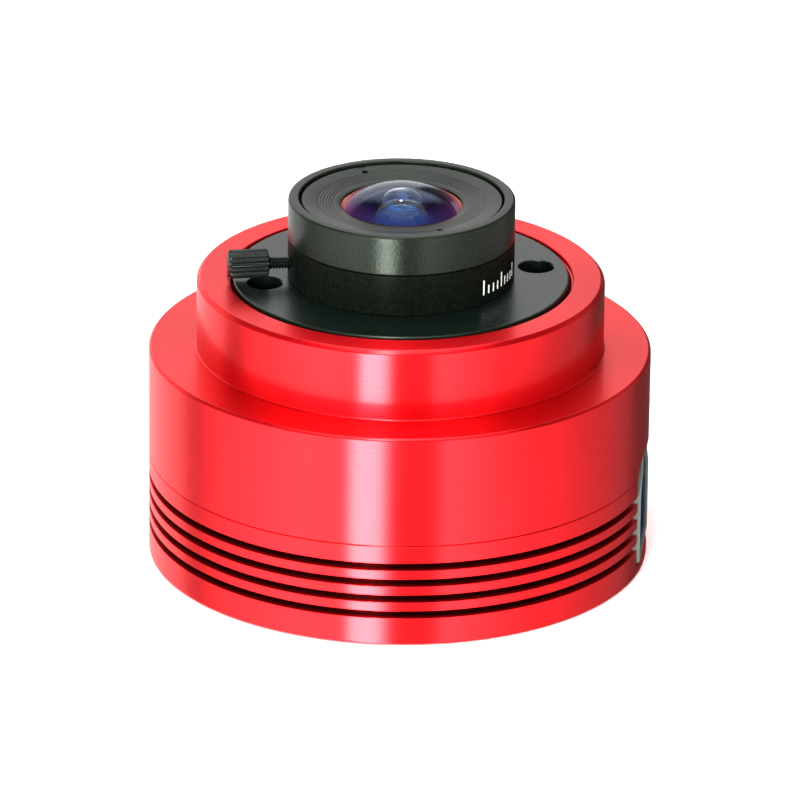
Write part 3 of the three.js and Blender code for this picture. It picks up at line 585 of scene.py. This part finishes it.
# Plain finishes: dark and light shade, roughness, and what differs from a plain plastic.
METAL = {"scale": 2500, "bump": 0.000004, "metallic": 1.0}
PLAIN = {
    "black_oxide": ((0.002, 0.004, 0.003), (0.005, 0.008, 0.006), 0.3, {"shine": 0.16}),
    "dull_nickel": ((0.09, 0.10, 0.085), (0.13, 0.14, 0.12), 0.6, {"shine": 0.08}),
    "steel": ((0.50, 0.51, 0.50), (0.62, 0.63, 0.61), 0.26, METAL),
    "brass": ((0.70, 0.47, 0.16), (0.80, 0.56, 0.22), 0.28, METAL),
    "copper": ((0.68, 0.27, 0.14), (0.78, 0.36, 0.20), 0.34, {**METAL, "bump": 0.000006}),
    "bare_aluminium": ((0.52, 0.53, 0.54), (0.64, 0.65, 0.66), 0.38, {"scale": 1800, "metallic": 1.0}),
    # Painted shade: these blues are kept darker than the plastic's own blue, so the socket's mouth
    # looks shaded.
    "blue_plastic": ((0.001, 0.007, 0.032), (0.002, 0.012, 0.052), 0.5, {"shine": 0.08}),
    "black_plastic": ((0.008, 0.008, 0.009), (0.016, 0.016, 0.018), 0.45, {}),
    "nylon": ((0.66, 0.63, 0.54), (0.76, 0.73, 0.64), 0.5, {}),
    "rubber": ((0.010, 0.010, 0.011), (0.018, 0.018, 0.019), 0.75, {"scale": 3000, "bump": 0.00002}),
    "foam": ((0.030, 0.030, 0.033), (0.055, 0.055, 0.060), 0.95, {"scale": 1600, "bump": 0.0001}),
    "ceramic": ((0.70, 0.69, 0.65), (0.80, 0.79, 0.75), 0.45, {}),
    "thermal_pad": ((0.24, 0.34, 0.44), (0.31, 0.42, 0.52), 0.8, {"scale": 1800, "bump": 0.00003}),
    "polyimide": ((0.40, 0.17, 0.025), (0.52, 0.25, 0.04), 0.35, {"coat": 0.4}),
    "silicon": ((0.045, 0.035, 0.10), (0.07, 0.06, 0.15), 0.15, {"metallic": 0.4, "coat": 1.0}),
    "cooler_elements": ((0.30, 0.30, 0.32), (0.42, 0.42, 0.44), 0.4, {"metallic": 0.8}),
    "white_paint": ((0.62, 0.64, 0.62), (0.75, 0.77, 0.75), 0.55, {}),
}
# Painted reflections of the lens's coating, from its middle to the part of its rim that is seen most
# edge on.
PAINTED_COATING_REFLECTIONS = (
    (0.0, (0.055, 0.003, 0.028)),
    (0.12, (0.010, 0.012, 0.060)),
    (0.34, (0.030, 0.008, 0.040)),
    (0.44, (0.100, 0.016, 0.055)),
    (0.54, (0.28, 0.045, 0.06)),
    (0.66, (0.50, 0.16, 0.09)),
    (0.78, (0.62, 0.36, 0.20)),
)
LOOKS = {
    # The third shade is painted shade for the bottom of the grooves.
    "red_anodised": red_anodised(
        "red_anodised", (0.60, 0.0020, 0.005), (0.68, 0.0030, 0.008), (0.072, 0.00024, 0.0006), 0.30
    ),
    "coated_glass": coated_glass("coated_glass", PAINTED_COATING_REFLECTIONS),
    "clear_glass": clear_glass("clear_glass", (0.90, 0.95, 1.0), 240, 260),
    "circuit_board": circuit_board("circuit_board"),
    **{name: satin_anodised(name, *values) for name, values in SATIN.items()},
    **{name: moulded(name, *shades, **other) for name, (*shades, other) in PLAIN.items()},
}


# ---- housings -------------------------------------------------------------------------------
FLARE = 0.12  # chamfer round each socket's opening
OPENING_GAP = 0.35
OUTSIDE = 34  # a radius past the body's wall


def opening(outline, back):
    """A cutter for a socket: straight inside, and flared where it breaks the round wall."""
    def at_wall(grow, depth):
        shape = inset(outline, -grow)
        return section(np.sqrt(BODY_R**2 - shape[:, 0] ** 2) - depth, shape)

    return [
        section(back, outline),
        at_wall(0, FLARE),
        at_wall(FLARE * 1.5, -FLARE * 0.5),
        section(OUTSIDE, inset(outline, -FLARE * 1.5)),
    ]


def socket_cutters(past_top):
    """Cutters for the three openings and for the power socket's own recess inside the wall."""
    low, high = USB["opening"]
    usb = box_outline(USB["half"] + OPENING_GAP, low, high + past_top, 3.6, 0.6, 12)
    low, high = GUIDE["opening"]
    guide = box_outline(GUIDE["half"] + OPENING_GAP, low, high + past_top, 0.6, 0.6)
    power = circle(POWER["bush"] + OPENING_GAP, POWER["z"])
    side = POWER["half"] + OPENING_GAP
    inner_end = POWER["back"] - OPENING_GAP
    out, up = POWER["recess"]
    corners = (inner_end, -side, POWER["z"] - side), (out, side, up)
    recess = block("cut", *corners, 0.2, POWER["azimuth"])
    return [
        lofted("cut", opening(usb, USB["back"] - OPENING_GAP), USB["azimuth"]),
        lofted("cut", opening(guide, GUIDE["back"] - OPENING_GAP), GUIDE["azimuth"]),
        lofted("cut", opening(power, POWER["neck"]), POWER["azimuth"]),
        recess,
    ]


def rear_housing():
    """The red cup, with the grooves turned into its side and bosses for the screws."""
    side = []
    for i in range(GROOVES["count"]):
        low = GROOVES["z"] + i * GROOVES["pitch"]
        high = low + GROOVES["width"]
        side += [(BODY_R, low, 0.09), (GROOVES["r"], low, 0.12)]
        side += [(GROOVES["r"], high, 0.12), (BODY_R, high, 0.09)]
    cup = turned("rear_shell", eased([
        (TRIPOD["bore"], BASE_Z, 0.15),
        (BODY_R, BASE_Z, 0.45),
        *side,
        (BODY_R, SEAM_Z, 0.22),
        (LIP_R, SEAM_Z, 0),
        (LIP_R, REGISTER_Z, 0.2),
        (WALL_R, REGISTER_Z, 0.2),
        (WALL_R, FLOOR_Z, 0.4),
        (TRIPOD["boss"], FLOOR_Z, 0.3),
        (TRIPOD["boss"], TRIPOD["top"], 0.2),
        (TRIPOD["bore"], TRIPOD["top"], 0.1),
    ]))
    bosses = posts("add", HOUSING_SCREW, "boss", FLOOR_Z - 1, REGISTER_Z - 0.01)
    bosses += posts("add", BOARD_SCREW, "boss", FLOOR_Z - 1, BOARD_SCREW["boss_top"])
    combine(cup, bosses, "UNION")
    holes = posts("cut", HOUSING_SCREW, "hole", BASE_Z - 1, REGISTER_Z + 1)
    holes += posts("cut", HOUSING_SCREW, "sink", BASE_Z - 1, HOUSING_SCREW["sink_top"])
    holes += posts("cut", BOARD_SCREW, "hole", BOARD_SCREW["hole_z"], BOARD_SCREW["boss_top"] + 1.6)
    combine(cup, holes + socket_cutters(past_top=5), "DIFFERENCE")
    piece(cup, "red_anodised", "root", "rear_housing")


def front_housing():
    """The red shell, with its stepped ring and the window's chamber."""
    crest = THREAD["r"]
    valley = crest + THREAD["depth"]
    shell = turned("front_shell", [
        *eased([
            (LIP_R + 0.2, SEAM_Z, 0.1),
            (BODY_R, SEAM_Z, 0.22),
            (BODY_R, SHOULDER_Z - 0.3, 0.1),
            (BODY_R - 0.3, SHOULDER_Z, 0.1),
            (STEP_R, SHOULDER_Z, 0.25),
            (STEP_R, FRONT_Z - 0.5, 0.1),
            (STEP_R - 0.5, FRONT_Z, 0.1),
            (crest + 0.2, FRONT_Z, 0.3),
            (crest + 0.2, FRONT_Z - 0.6, 0),
        ]),
        *reversed(thread(crest, valley, THREAD["pitch"], ADAPTER_Z + 0.05, FRONT_Z - 0.65)),
        *eased([
            (crest, ADAPTER_Z, 0),
            (WINDOW["seat_r"], ADAPTER_Z, 0.15),
            (WINDOW["seat_r"], WINDOW["seat_z"], 0.1),
            (WINDOW["r"], WINDOW["seat_z"], 0.1),
            (WINDOW["r"], WINDOW["z"], 0.1),
            (WINDOW["chamber_r"], WINDOW["z"], 0.2),
            (WINDOW["chamber_r"], CEILING_Z, 0.2),
            (CEILING_R, CEILING_Z, 0.6),
            (CEILING_R, SPREADER_TOP, 0.1),
            (LIP_R + 0.2, SPREADER_TOP, 0),
        ]),
    ])
    combine(shell, posts("add", HOUSING_SCREW, "upper_boss", SPREADER_TOP, CEILING_Z + 1), "UNION")
    holes = posts("cut", HOUSING_SCREW, "upper_hole", SPREADER_TOP - 1, HOUSING_SCREW["hole_top"])
    holes += posts("cut", SENSOR_SCREW, "hole", CEILING_Z - 1, SENSOR_SCREW["hole_top"])
    combine(shell, holes + socket_cutters(past_top=0), "DIFFERENCE")
    piece(shell, "red_anodised", "root", "front_housing")


def tripod_insert():
    outer = TRIPOD["bore"] - 0.05
    crest = TRIPOD["thread"]
    top = TRIPOD["depth"]
    sleeve = turned("tripod_bush", [
        (0, top),
        (crest - 0.2, top),
        *reversed(thread(crest, crest + TRIPOD["valley"], TRIPOD["pitch"], 0.7, top - 0.1, FINE, 8)),
        (crest + 0.4, TRIPOD["sunk"]),
        (outer - 0.2, TRIPOD["sunk"]),
        (outer, TRIPOD["sunk"] + 0.2),
        (outer, TRIPOD["top"]),
        (0, TRIPOD["top"]),
    ], FINE)
    piece(sleeve, "steel", "root", "tripod_insert")


def housing_screw(name, place):
    """A hexagon socket cap screw along Z with its socket facing down."""
    head_r = HOUSING_SCREW["head"]
    head_low = HOUSING_SCREW["head_z"]
    head_high = HOUSING_SCREW["sink_top"]
    shank_r = HOUSING_SCREW["shank"]
    tip = HOUSING_SCREW["tip"]
    body = turned(name, eased([
        (0, head_low, 0),
        (head_r, head_low, 0.22),
        (head_r, head_high, 0.08),
        (shank_r, head_high, 0.1),
        (shank_r, tip, 0.3),
        (0, tip, 0),
    ]), FINE)
    hexagon = circle(head_r * 0.52, 0, 6)
    socket = lofted("cut", [
        [(y, z, head_low - 0.5) for y, z in hexagon * 1.25],
        [(y, z, head_low - 0.01) for y, z in hexagon * 1.12],
        [(y, z, head_low + 0.12) for y, z in hexagon],
        [(y, z, head_low + 0.8) for y, z in hexagon],
        [(y, z, head_low + 1.0) for y, z in hexagon * 0.3],
    ])
    combine(body, [socket], "DIFFERENCE")
    return moved(body, place)


rear_housing()
front_housing()
tripod_insert()
for number, place in enumerate(places(HOUSING_SCREW), 1):
    piece(housing_screw(f"case_screw_{number}", place), "steel", "root", f"housing_screw_{number}")


# ---- lens adapter and lens ------------------------------------------------------------------
def lens_adapter():
    bore = STUB["r"] + 0.25
    disc = turned("adapter_plate", eased([
        (bore, ADAPTER_Z, 0.2),
        (ADAPTER_R, ADAPTER_Z, 0.3),
        (ADAPTER_R, ADAPTER_TOP, 0.35),
        (bore, ADAPTER_TOP, 0.3),
    ]))
    r = SPANNER_HOLE["r"]
    wide = r + 0.14
    hole = [(0, ADAPTER_Z - 1), (r, ADAPTER_Z - 1), (r, ADAPTER_TOP - 0.12)]
    hole += [(wide, ADAPTER_TOP + 0.02), (wide, ADAPTER_TOP + 1), (0, ADAPTER_TOP + 1)]
    combine(disc, [moved(turned("cut", hole, FINE), p) for p in places(SPANNER_HOLE)], "DIFFERENCE")
    piece(disc, "black_anodised", "root", "lens_adapter")


def cross_hole(radius, low, high, azimuth, z):
    """A cutter for a round hole that runs outwards from the axis between two radii."""
    return lofted("cut", [section(low, circle(radius)), section(high, circle(radius))], azimuth, z)


def lens_base():
    r = BASE_BORE["r"]
    floor = BASE_BORE["floor"]
    recess = BASE_BORE["recess"]
    stub = STUB["r"]
    barrel = turned("lens_barrel_base", [
        *eased([(r, floor, 0.1), (r, STUB_Z, 0.1), (stub - 0.2, STUB_Z, 0)]),
        *thread(stub, stub - STUB["depth"], STUB["pitch"], STUB_Z + 0.2, ADAPTER_TOP - 0.3),
        *eased([
            (stub - 0.1, ADAPTER_TOP, 0),
            (LENS_R, ADAPTER_TOP, 0.22),
            (LENS_R, LENS_BASE_TOP, 0.16),
            (recess, LENS_BASE_TOP, 0.1),
            (recess, floor, 0.1),
        ]),
    ])
    screw_hole = cross_hole(LOCK["hole"], 11, 15, LOCK["azimuth"], LOCK["z"])
    pin_hole = cross_hole(GUIDE_PIN["hole"], 9, 12.3, GUIDE_PIN["azimuth"], GUIDE_PIN["z"])
    combine(barrel, [screw_hole, pin_hole], "DIFFERENCE")
    piece(barrel, "black_anodised", "root", "lens_base", finish="matt_black")


def focus_ring():
    low = LENS_BASE_TOP + 0.1
    ring = turned("focus_collar", eased([
        (RING["bore"], RING_SKIRT_Z, 0.1),
        (RING["skirt"], RING_SKIRT_Z, 0.1),
        (RING["skirt"], low, 0.1),
        (LENS_R, low, 0.16),
        (LENS_R, LENS_TOP, 0.4),
        (RING["lip"], LENS_TOP, 0.2),
        (RING["lip"], RING["floor"], 0),
        (RING["bore"], RING["floor"], 0.1),
    ], 5))
    piece(ring, "satin_black", "focus_ring", "focus_ring")


def front_retainer():
    """The dished front plate, with fine grooves turned into it."""
    bore = PLATE["bore"]
    top = [(HEAD_R, RETAINER_TOP, 0.12)]
    fall = (RETAINER_TOP - PLATE["z"]) / (HEAD_R - bore)
    for i in range(PLATE["grooves"]):
        r = PLATE["groove_r"] - i * PLATE["groove_pitch"]
        z = RETAINER_TOP - (HEAD_R - r) * fall
        top += [(r, z, 0.02), (r - 0.07, z - 0.05, 0.02), (r - 0.14, z - 0.03, 0.02)]
    plate = turned("front_retaining_plate", eased([
        (bore, PLATE["z"] - 0.35, 0.05),
        (9.7, HEAD_Z, 0.05),
        (HEAD_R, HEAD_Z, 0.1),
        *top,
        (bore, PLATE["z"], 0.06),
    ], 2))
    combine(plate, posts("cut", PLATE, "hole", 44.7, 47), "DIFFERENCE")
    piece(plate, "satin_black", "optical_cell", "front_retainer")


def cap(apex, sphere_r, r, steps=40):
    """Rings of a spherical surface from the axis to radius r; sphere_r is negative where hollow."""
    rings = []
    for i in range(steps + 1):
        x = r * i / steps
        fall = abs(sphere_r) - math.sqrt(sphere_r**2 - x**2)
        rings.append((x, apex - math.copysign(fall, sphere_r)))
    return rings


def glass_elements():
    edge = DOME["edge"]
    seat = DOME["seat"]
    front = turned("front_element", [
        *cap(HOLLOW["apex"], HOLLOW["sphere"], HOLLOW["edge"]),
        (HOLLOW["mouth"], seat),
        (edge - 0.1, seat),
        (edge, seat + 0.1),
        *reversed(cap(DOME_TOP, DOME["sphere"], edge)),
    ])
    piece(front, "coated_glass", "optical_cell", "front_meniscus")
    middle = turned("middle_element", [
        *cap(39.3, 40, 6, 12),
        (6.4, 38.9),
        (ELEMENT_R, 38.9),
        (ELEMENT_R, CELL["shelf_z"]),
        *reversed(cap(40, -20, 6, 16)),
    ])
    piece(middle, "clear_glass", "optical_cell", "second_element")
    rear = turned("rear_cemented_pair", [
        *cap(34.4, -60, 5.2, 8),
        (5.2, 34.6),
        (ELEMENT_R, 34.6),
        (ELEMENT_R, 37.6),
        (6.2, 37.6),
        *reversed(cap(38.5, 22, 6, 16)),
    ])
    piece(rear, "clear_glass", "optical_cell", "rear_doublet")


def lens_cell():
    """The inner barrel, with a groove for its clip and a slot for the guide pin."""
    r = CELL["r"]
    bore = CELL["bore"]
    bottom = CELL["bottom"]
    flange = CELL["flange_z"]
    shelf = CELL["shelf_z"]
    seat = DOME["edge"] + 0.15
    clip_low = CELL["clip_z"] - 0.05
    clip_high = CELL["clip_z"] + 0.35
    barrel = turned("optical_barrel", eased([
        (bore, bottom, 0.1),
        (r, bottom, 0.2),
        (r, clip_low, 0.03),
        (r - 0.4, clip_low, 0),
        (r - 0.4, clip_high, 0),
        (r, clip_high, 0.03),
        (CELL["flange_r"], 40.6, 0.1),
        (CELL["flange_r"], flange, 0.1),
        (HEAD_R, flange, 0.1),
        (HEAD_R, HEAD_Z, 0.1),
        (seat, HEAD_Z, 0.05),
        (seat, DOME["seat"], 0.05),
        (bore - 0.6, DOME["seat"], 0.1),
        (bore - 0.6, shelf, 0.1),
        (bore, shelf, 0),
    ]))
    slot = block("cut", (8.6, -0.75, bottom - 1), (11, 0.75, bottom + 3.6), 0.1, GUIDE_PIN["azimuth"])
    combine(barrel, [slot], "DIFFERENCE")
    piece(barrel, "black_anodised", "optical_cell", "optical_cell")


def lock_screw():
    """A thumb screw turned about Z first, with a straight knurl, then laid along its azimuth."""
    segments = FINE * 2
    ridge = 0.5 + 0.5 * np.cos(np.arange(segments) * 2 * math.pi / segments * LOCK["ridges"])
    depth = LOCK["knurl"] * (1 - ridge**1.5)
    tip = LOCK["tip"]
    head = LOCK["head"]
    end = LOCK["end"]
    r = LOCK["r"]
    crest = LOCK["thread"]
    rings = [(0, tip), (0.45, tip)]
    rings += thread(crest, crest - 0.2, LOCK["pitch"], tip + 0.1, head - 0.15, segments, 8)
    rings += [(0.62, head - 0.05), (0.62, head), (r - 0.42, head), (r - 0.3, head + 0.02)]
    # Where each ring of the knurled head lies, how far it draws in, and its share of the knurl.
    knurled = (
        (head + 0.14, 0.12, 0.35),
        (head + 0.3, 0, 1),
        (end - 0.4, 0, 1),
        (end - 0.22, 0.1, 0.6),
        (end - 0.05, 0.3, 0),
    )
    rings += [(r - shrink - depth * cut, z) for z, shrink, cut in knurled]
    rings += [(r - 0.4, end), (0, end)]
    screw = turned("thumb_screw", rings, segments)
    stand = Matrix.Rotation(math.pi / 2, 4, "Y")
    swing = Matrix.Rotation(math.radians(LOCK["azimuth"]), 4, "Z")
    screw.data.transform(Matrix.Translation((0, 0, LOCK["z"] * MM)) @ swing @ stand)
    piece(screw, "black_anodised", "lock_screw", "lock_screw", finish="black_oxide")


lens_adapter()
lens_base()
focus_ring()
front_retainer()
glass_elements()
lens_cell()
lock_screw()


# ---- sockets --------------------------------------------------------------------------------
def usb_outline(by):
    """The socket's outline, a wide part below a narrow one, moved inwards by a distance."""
    half = USB["half"]
    neck = USB["neck"]
    low = USB["low"]
    high = USB["high"]
    corners = [
        (-half, low, 0.6), (half, low, 0.6), (half, 10.6, 0.5), (neck, 13.4, 0.4), (neck, high, 0.5),
        (-neck, high, 0.5), (-neck, 13.4, 0.4), (-half, 10.6, 0.5),
    ]
    return inset(eased(corners, 5), by)


def mouth_cutter(outline, floor, rim, face, flare, azimuth):
    """A cutter for a socket's mouth: straight from its floor to near the rim, and flared past it."""
    wide = inset(outline, -flare)
    sections = [section(floor, outline), section(rim, outline), section(face + 0.05, wide)]
    return lofted("cut", [*sections, section(face + 2, wide)], azimuth)


def usb_socket():
    wall = 0.3
    back = USB["back"]
    face = USB["face"]
    shell = lofted("usb_metal_shell", [
        section(back, usb_outline(0.1)),
        section(back + 0.1, usb_outline(0)),
        section(face - 0.08, usb_outline(0)),
        section(face, usb_outline(0.07)),
        section(face, usb_outline(wall - 0.07)),
        section(face - 0.08, usb_outline(wall)),
        section(back + wall, usb_outline(wall)),
    ], USB["azimuth"])
    piece(shell, "steel", "root", "usb_shell", finish="dull_nickel")

    front = face - 0.3
    core = lofted("usb_blue_insert", [
        section(back + 0.4, usb_outline(0.4)),
        section(front - 0.1, usb_outline(0.4)),
        section(front, usb_outline(0.5)),
    ], USB["azimuth"])
    mouth = eased([
        (-4.25, 2.9, 0.3), (4.25, 2.9, 0.3), (4.25, 9.2, 0.2), (2.8, 10.7, 0.2),
        (-2.8, 10.7, 0.2), (-4.25, 9.2, 0.2),
    ])
    shapes = (mouth, box_outline(2.6, 11.3, 14, 0.2, 0.2))
    cutters = [mouth_cutter(shape, 20, front - 0.2, front, 0.2, USB["azimuth"]) for shape in shapes]
    combine(core, cutters, "DIFFERENCE")
    tongues = [
        block("add", (19, -2.8, 5.2), (face - 1.6, 2.8, 8.4), 0.2, USB["azimuth"]),
        block("add", (19, -2.2, 12.3), (face - 1.6, 2.2, 13.1), 0.15, USB["azimuth"]),
    ]
    combine(core, tongues, "UNION")
    piece(core, "blue_plastic", "root", "usb_insert")


def contact_strips(name, spots, from_x, to_x, thick, wide, azimuth):
    """Flat contact blades side by side, as one piece."""
    blades = [
        block(name, (from_x, y - wide / 2, z), (to_x, y + wide / 2, z + thick), thick * 0.3, azimuth)
        for y, z in spots
    ]
    return joined(blades)


def usb_contacts():
    """Two pairs of blades on the lower tongue and five on the upper one."""
    spots = [(y, z) for z in (8.36, 5.0) for y in (-1.25, 1.25)]
    spots += [(y, 13.06) for y in (-1.8, -0.9, 0, 0.9, 1.8)]
    end = USB["face"] - 2.2
    strips = contact_strips("usb_contact_blades", spots, 21, end, 0.24, 0.55, USB["azimuth"])
    piece(strips, "brass", "root")


def guide_socket():
    back = GUIDE["back"]
    face = GUIDE["face"]
    outline = box_outline(GUIDE["half"], GUIDE["low"], GUIDE["high"], 0.35, 0.35)
    body = lofted("guide_port_body", [
        section(back, inset(outline, 0.2)),
        section(back + 0.2, outline),
        section(face - 0.15, outline),
        section(face, inset(outline, 0.15)),
    ], GUIDE["azimuth"])
    mouth = box_outline(4.9, 4.6, 11.4, 0.2, 0.2)
    latch_notch = box_outline(3.1, 2.9, 5, 0.1, 0.2)
    shapes = (mouth, latch_notch)
    cutters = [mouth_cutter(shape, 18.2, face - 0.35, face, 0.3, GUIDE["azimuth"]) for shape in shapes]
    combine(body, cutters, "DIFFERENCE")
    piece(body, "black_plastic", "root", "guide_jack")
    spots = [((i - 2.5) * 1.02, 10.5) for i in range(6)]
    comb = contact_strips("guide_contact_wires", spots, 18.45, 27.5, 0.35, 0.5, GUIDE["azimuth"])
    piece(comb, "brass", "root", "guide_contacts")


def power_socket():
    face = POWER["face"]
    z = POWER["z"]
    half = POWER["half"]
    azimuth = POWER["azimuth"]
    corners = (POWER["back"], -half, z - half), (POWER["front"], half, z + half)

    def rod(name, steps):
        """A round bar through (x, radius) steps, along the socket's own axis."""
        return lofted(name, [section(x, circle(radius, z)) for x, radius in steps], azimuth)

    bush = POWER["bush"]
    bore = POWER["bore"]
    pin = POWER["pin"]
    body = block("power_port_body", *corners, 0.4, azimuth)
    collar = rod("add", [(POWER["neck"], bush), (face - 0.25, bush), (face, bush - 0.25)])
    combine(body, [collar], "UNION")
    mouth = [(20.8, bore), (face - 0.4, bore), (face + 0.05, bore + 0.35), (face + 2, bore + 0.35)]
    pin_hole = [(17.8, pin + 0.1), (21, pin + 0.1)]
    combine(body, [rod("cut", mouth), rod("cut", pin_hole)], "DIFFERENCE")
    piece(body, "black_plastic", "root", "power_jack")
    steps = [(18, pin - 0.1), (18.1, pin), (28.3, pin), (28.7, pin - 0.25), (28.8, pin - 0.6)]
    piece(rod("power_centre_pin", steps), "steel", "root", "power_pin")


usb_socket()
usb_contacts()
guide_socket()
power_socket()


# ---- index marks on the lens ----------------------------------------------------------------
def index_marks():
    """A row of plain focus ticks laid into the lens base, with every fourth one longer."""
    faces = [[0, 1, 3, 2], [4, 5, 7, 6], [0, 1, 5, 4], [2, 3, 7, 6], [0, 2, 6, 4], [1, 3, 7, 5]]
    low = TICKS["z"]
    ticks = []
    for i in range(TICKS["count"]):
        azimuth = TICKS["first"] + i * TICKS["step"]
        high = low + (TICKS["long"] if i % 4 == 0 else TICKS["short"])
        points = [
            (*polar(radius, azimuth + side), z)
            for radius in (LENS_R - TICKS["sunk"], LENS_R + TICKS["proud"])
            for z in (low, high)
            for side in (-TICKS["half"], TICKS["half"])
        ]
        ticks.append(make("focus_tick_marks", points, faces))
    piece(joined(ticks), "nylon", "root", finish="white_paint")


index_marks()


# ---- inner pieces that keep their CAD shape -------------------------------------------------
def dress_inner_nodes():
    """Gives each inner CAD node its finish and a fine bevel."""
    slots = {row["node"]: row["material_slot"] for row in frame["record"]["subparts"]}
    for name, node in frame["nodes"].items():
        if node.hide_render:
            continue
        if not node.material_slots:
            node.data.materials.append(None)
        for slot in node.material_slots:
            slot.link = "OBJECT"
            slot.material = LOOKS[slots[name]]
        edges = node.modifiers.new("eased edges", "BEVEL")
        edges.width = 0.08 * MM
        edges.segments = 2
        edges.limit_method = "ANGLE"
        edges.angle_limit = math.radians(50)
        edges.harden_normals = False


dress_inner_nodes()


# ---- studio ---------------------------------------------------------------------------------
def studio_floor():
    """A plain pale sheet just under the object."""
    size = 6.0
    mesh = bpy.data.meshes.new("studio_floor")
    corners = [(-size, -size, 0), (size, -size, 0), (size, size, 0), (-size, size, 0)]
    mesh.from_pydata(corners, [], [[0, 1, 2, 3]])
    floor = bpy.data.objects.new("studio_floor", mesh)
    floor.location.z = -0.00002
    scene.collection.objects.link(floor)
    look, tree = blank("floor_paper")
    fibre = speckle(tree, 900, 2.0).outputs["Fac"]
    paper = tinted(tree, fibre, (0.75, 0.75, 0.75), (0.77, 0.77, 0.77))
    surface(tree, Base_Color=paper, Roughness=0.9, Specular_IOR_Level=0.1)
    floor.data.materials.append(look)
    floor.visible_glossy = False  # polished surfaces mirror the panels, which reach down past it


# Brightness of the studio's walls by azimuth in degrees: soft panels, gaps between them, a backdrop.
PANELS = [
    (-180, 2.2), (-163, 3.5), (-134, 6.0), (-114, 5.0),
    (-96, 1.4), (-72, 1.1),
    (-70, 6.0), (-50, 3.8), (-28, 1.9), (-12, 1.5), (5, 1.0), (26, 0.6), (38, 0.4),
    (48, 0.03), (80, 0.03),
    (84, 1.25), (130, 1.35), (150, 2.0),
    (155, 0.9), (165, 0.7),
    (172, 1.2), (179, 2.2),
]
BRIGHTEST = 6.0
STRIP = {"from": -112, "to": -98, "top": 0.3, "upper": (0.86, 0.96), "level": 44.0}
WALL = {"from": 0.45, "to": 0.6}  # heights over which the panels fade out
CEILING = {"from": 0.86, "to": 0.94, "low": 0.1, "high": 5.4}
BACK = {"azimuth": 90, "half": 27, "from": 0.48, "to": 0.86, "level": 2.0}
LAMP = {"azimuth": 91, "elevation": 57, "radius": 1.3, "level": 60.0}


def studio_walls():
    """Soft panels, a bright strip, a ceiling, a card behind and a small lamp, by direction."""
    world = bpy.data.worlds.new("studio")
    world.use_nodes = True
    scene.world = world
    tree = world.node_tree
    tree.nodes.clear()
    direction = add(tree, "TexCoord").outputs["Generated"]
    axes = add(tree, "SeparateXYZ", _0=direction)
    azimuth = math_of(tree, "ARCTAN2", axes.outputs["Y"], axes.outputs["X"])
    degrees = math_of(tree, "MULTIPLY", azimuth, 180 / math.pi)
    around = math_of(tree, "MULTIPLY_ADD", degrees, 1 / 360, 0.5)
    stops = [(at / 360 + 0.5, [level / BRIGHTEST] * 3) for at, level in PANELS]
    height = axes.outputs["Z"]
    wall = ramped(tree, height, WALL["from"], WALL["to"], BRIGHTEST, 0)
    panels = product(tree, colour_ramp(tree, around, stops), wall)
    ceiling = ramped(tree, height, CEILING["from"], CEILING["to"], CEILING["low"], CEILING["high"])
    left = ramped(tree, degrees, STRIP["from"] - 1, STRIP["from"] + 1, 0, STRIP["level"])
    right = ramped(tree, degrees, STRIP["to"] - 2, STRIP["to"] + 5, 1, 0)
    lower = ramped(tree, height, STRIP["top"] - 0.02, STRIP["top"] + 0.02, 1, 0)
    bottom, top = STRIP["upper"]
    above = ramped(tree, height, bottom - 0.01, bottom + 0.01, 0, 1)
    below = ramped(tree, height, top - 0.01, top + 0.01, 1, 0)
    parts = math_of(tree, "MULTIPLY_ADD", above, below, lower)
    strip = product(tree, left, right, parts)
    off = math_of(tree, "ABSOLUTE", math_of(tree, "SUBTRACT", degrees, BACK["azimuth"]))
    across = ramped(tree, off, BACK["half"] - 8, BACK["half"] + 8, BACK["level"], 0)
    over = ramped(tree, height, BACK["from"] - 0.1, BACK["from"] + 0.1, 0, 1)
    under = ramped(tree, height, BACK["to"] - 0.02, BACK["to"] + 0.02, 1, 0)
    back = product(tree, over, under, across)
    level_x, level_y = polar(math.cos(math.radians(LAMP["elevation"])), LAMP["azimuth"])
    towards = (level_x, level_y, math.sin(math.radians(LAMP["elevation"])))
    nearness = add(tree, "VectorMath", {"operation": "DOT_PRODUCT"}, _0=direction, _1=towards)
    rim = math.cos(math.radians(LAMP["radius"]))
    lamp = ramped(tree, nearness.outputs["Value"], rim - 0.0001, rim + 0.0001, 0, LAMP["level"])
    total = panels
    for light in (ceiling, strip, back, lamp):
        total = math_of(tree, "ADD", total, light)
    glow = add(tree, "Background", Color=(1, 1, 1, 1), Strength=total)
    add(tree, "OutputWorld", Surface=glow.outputs[0])


def camera():
    """The view: down at the object's front from about a metre, with a slight roll."""
    elevation = math.radians(22.305)
    roll = math.radians(0.714)
    distance = 0.942
    target = Vector((0.08, 0, 19.42)) * MM
    back = Vector((0, -math.cos(elevation), math.sin(elevation)))
    right = Vector((1, 0, 0))
    up = back.cross(right)
    tilted_right = right * math.cos(roll) + up * math.sin(roll)
    tilted_up = up * math.cos(roll) - right * math.sin(roll)
    eye = bpy.data.cameras.new("camera")
    eye.sensor_width = 36
    eye.lens = 342.15
    holder = bpy.data.objects.new("camera", eye)
    turn = Matrix((tilted_right, tilted_up, back)).transposed().to_4x4()
    holder.matrix_world = Matrix.Translation(target + back * distance) @ turn
    eye.clip_start = 0.05
    eye.clip_end = 50
    scene.collection.objects.link(holder)
    scene.camera = holder


studio_floor()
studio_walls()
camera()
scene.view_settings.view_transform = "Standard"
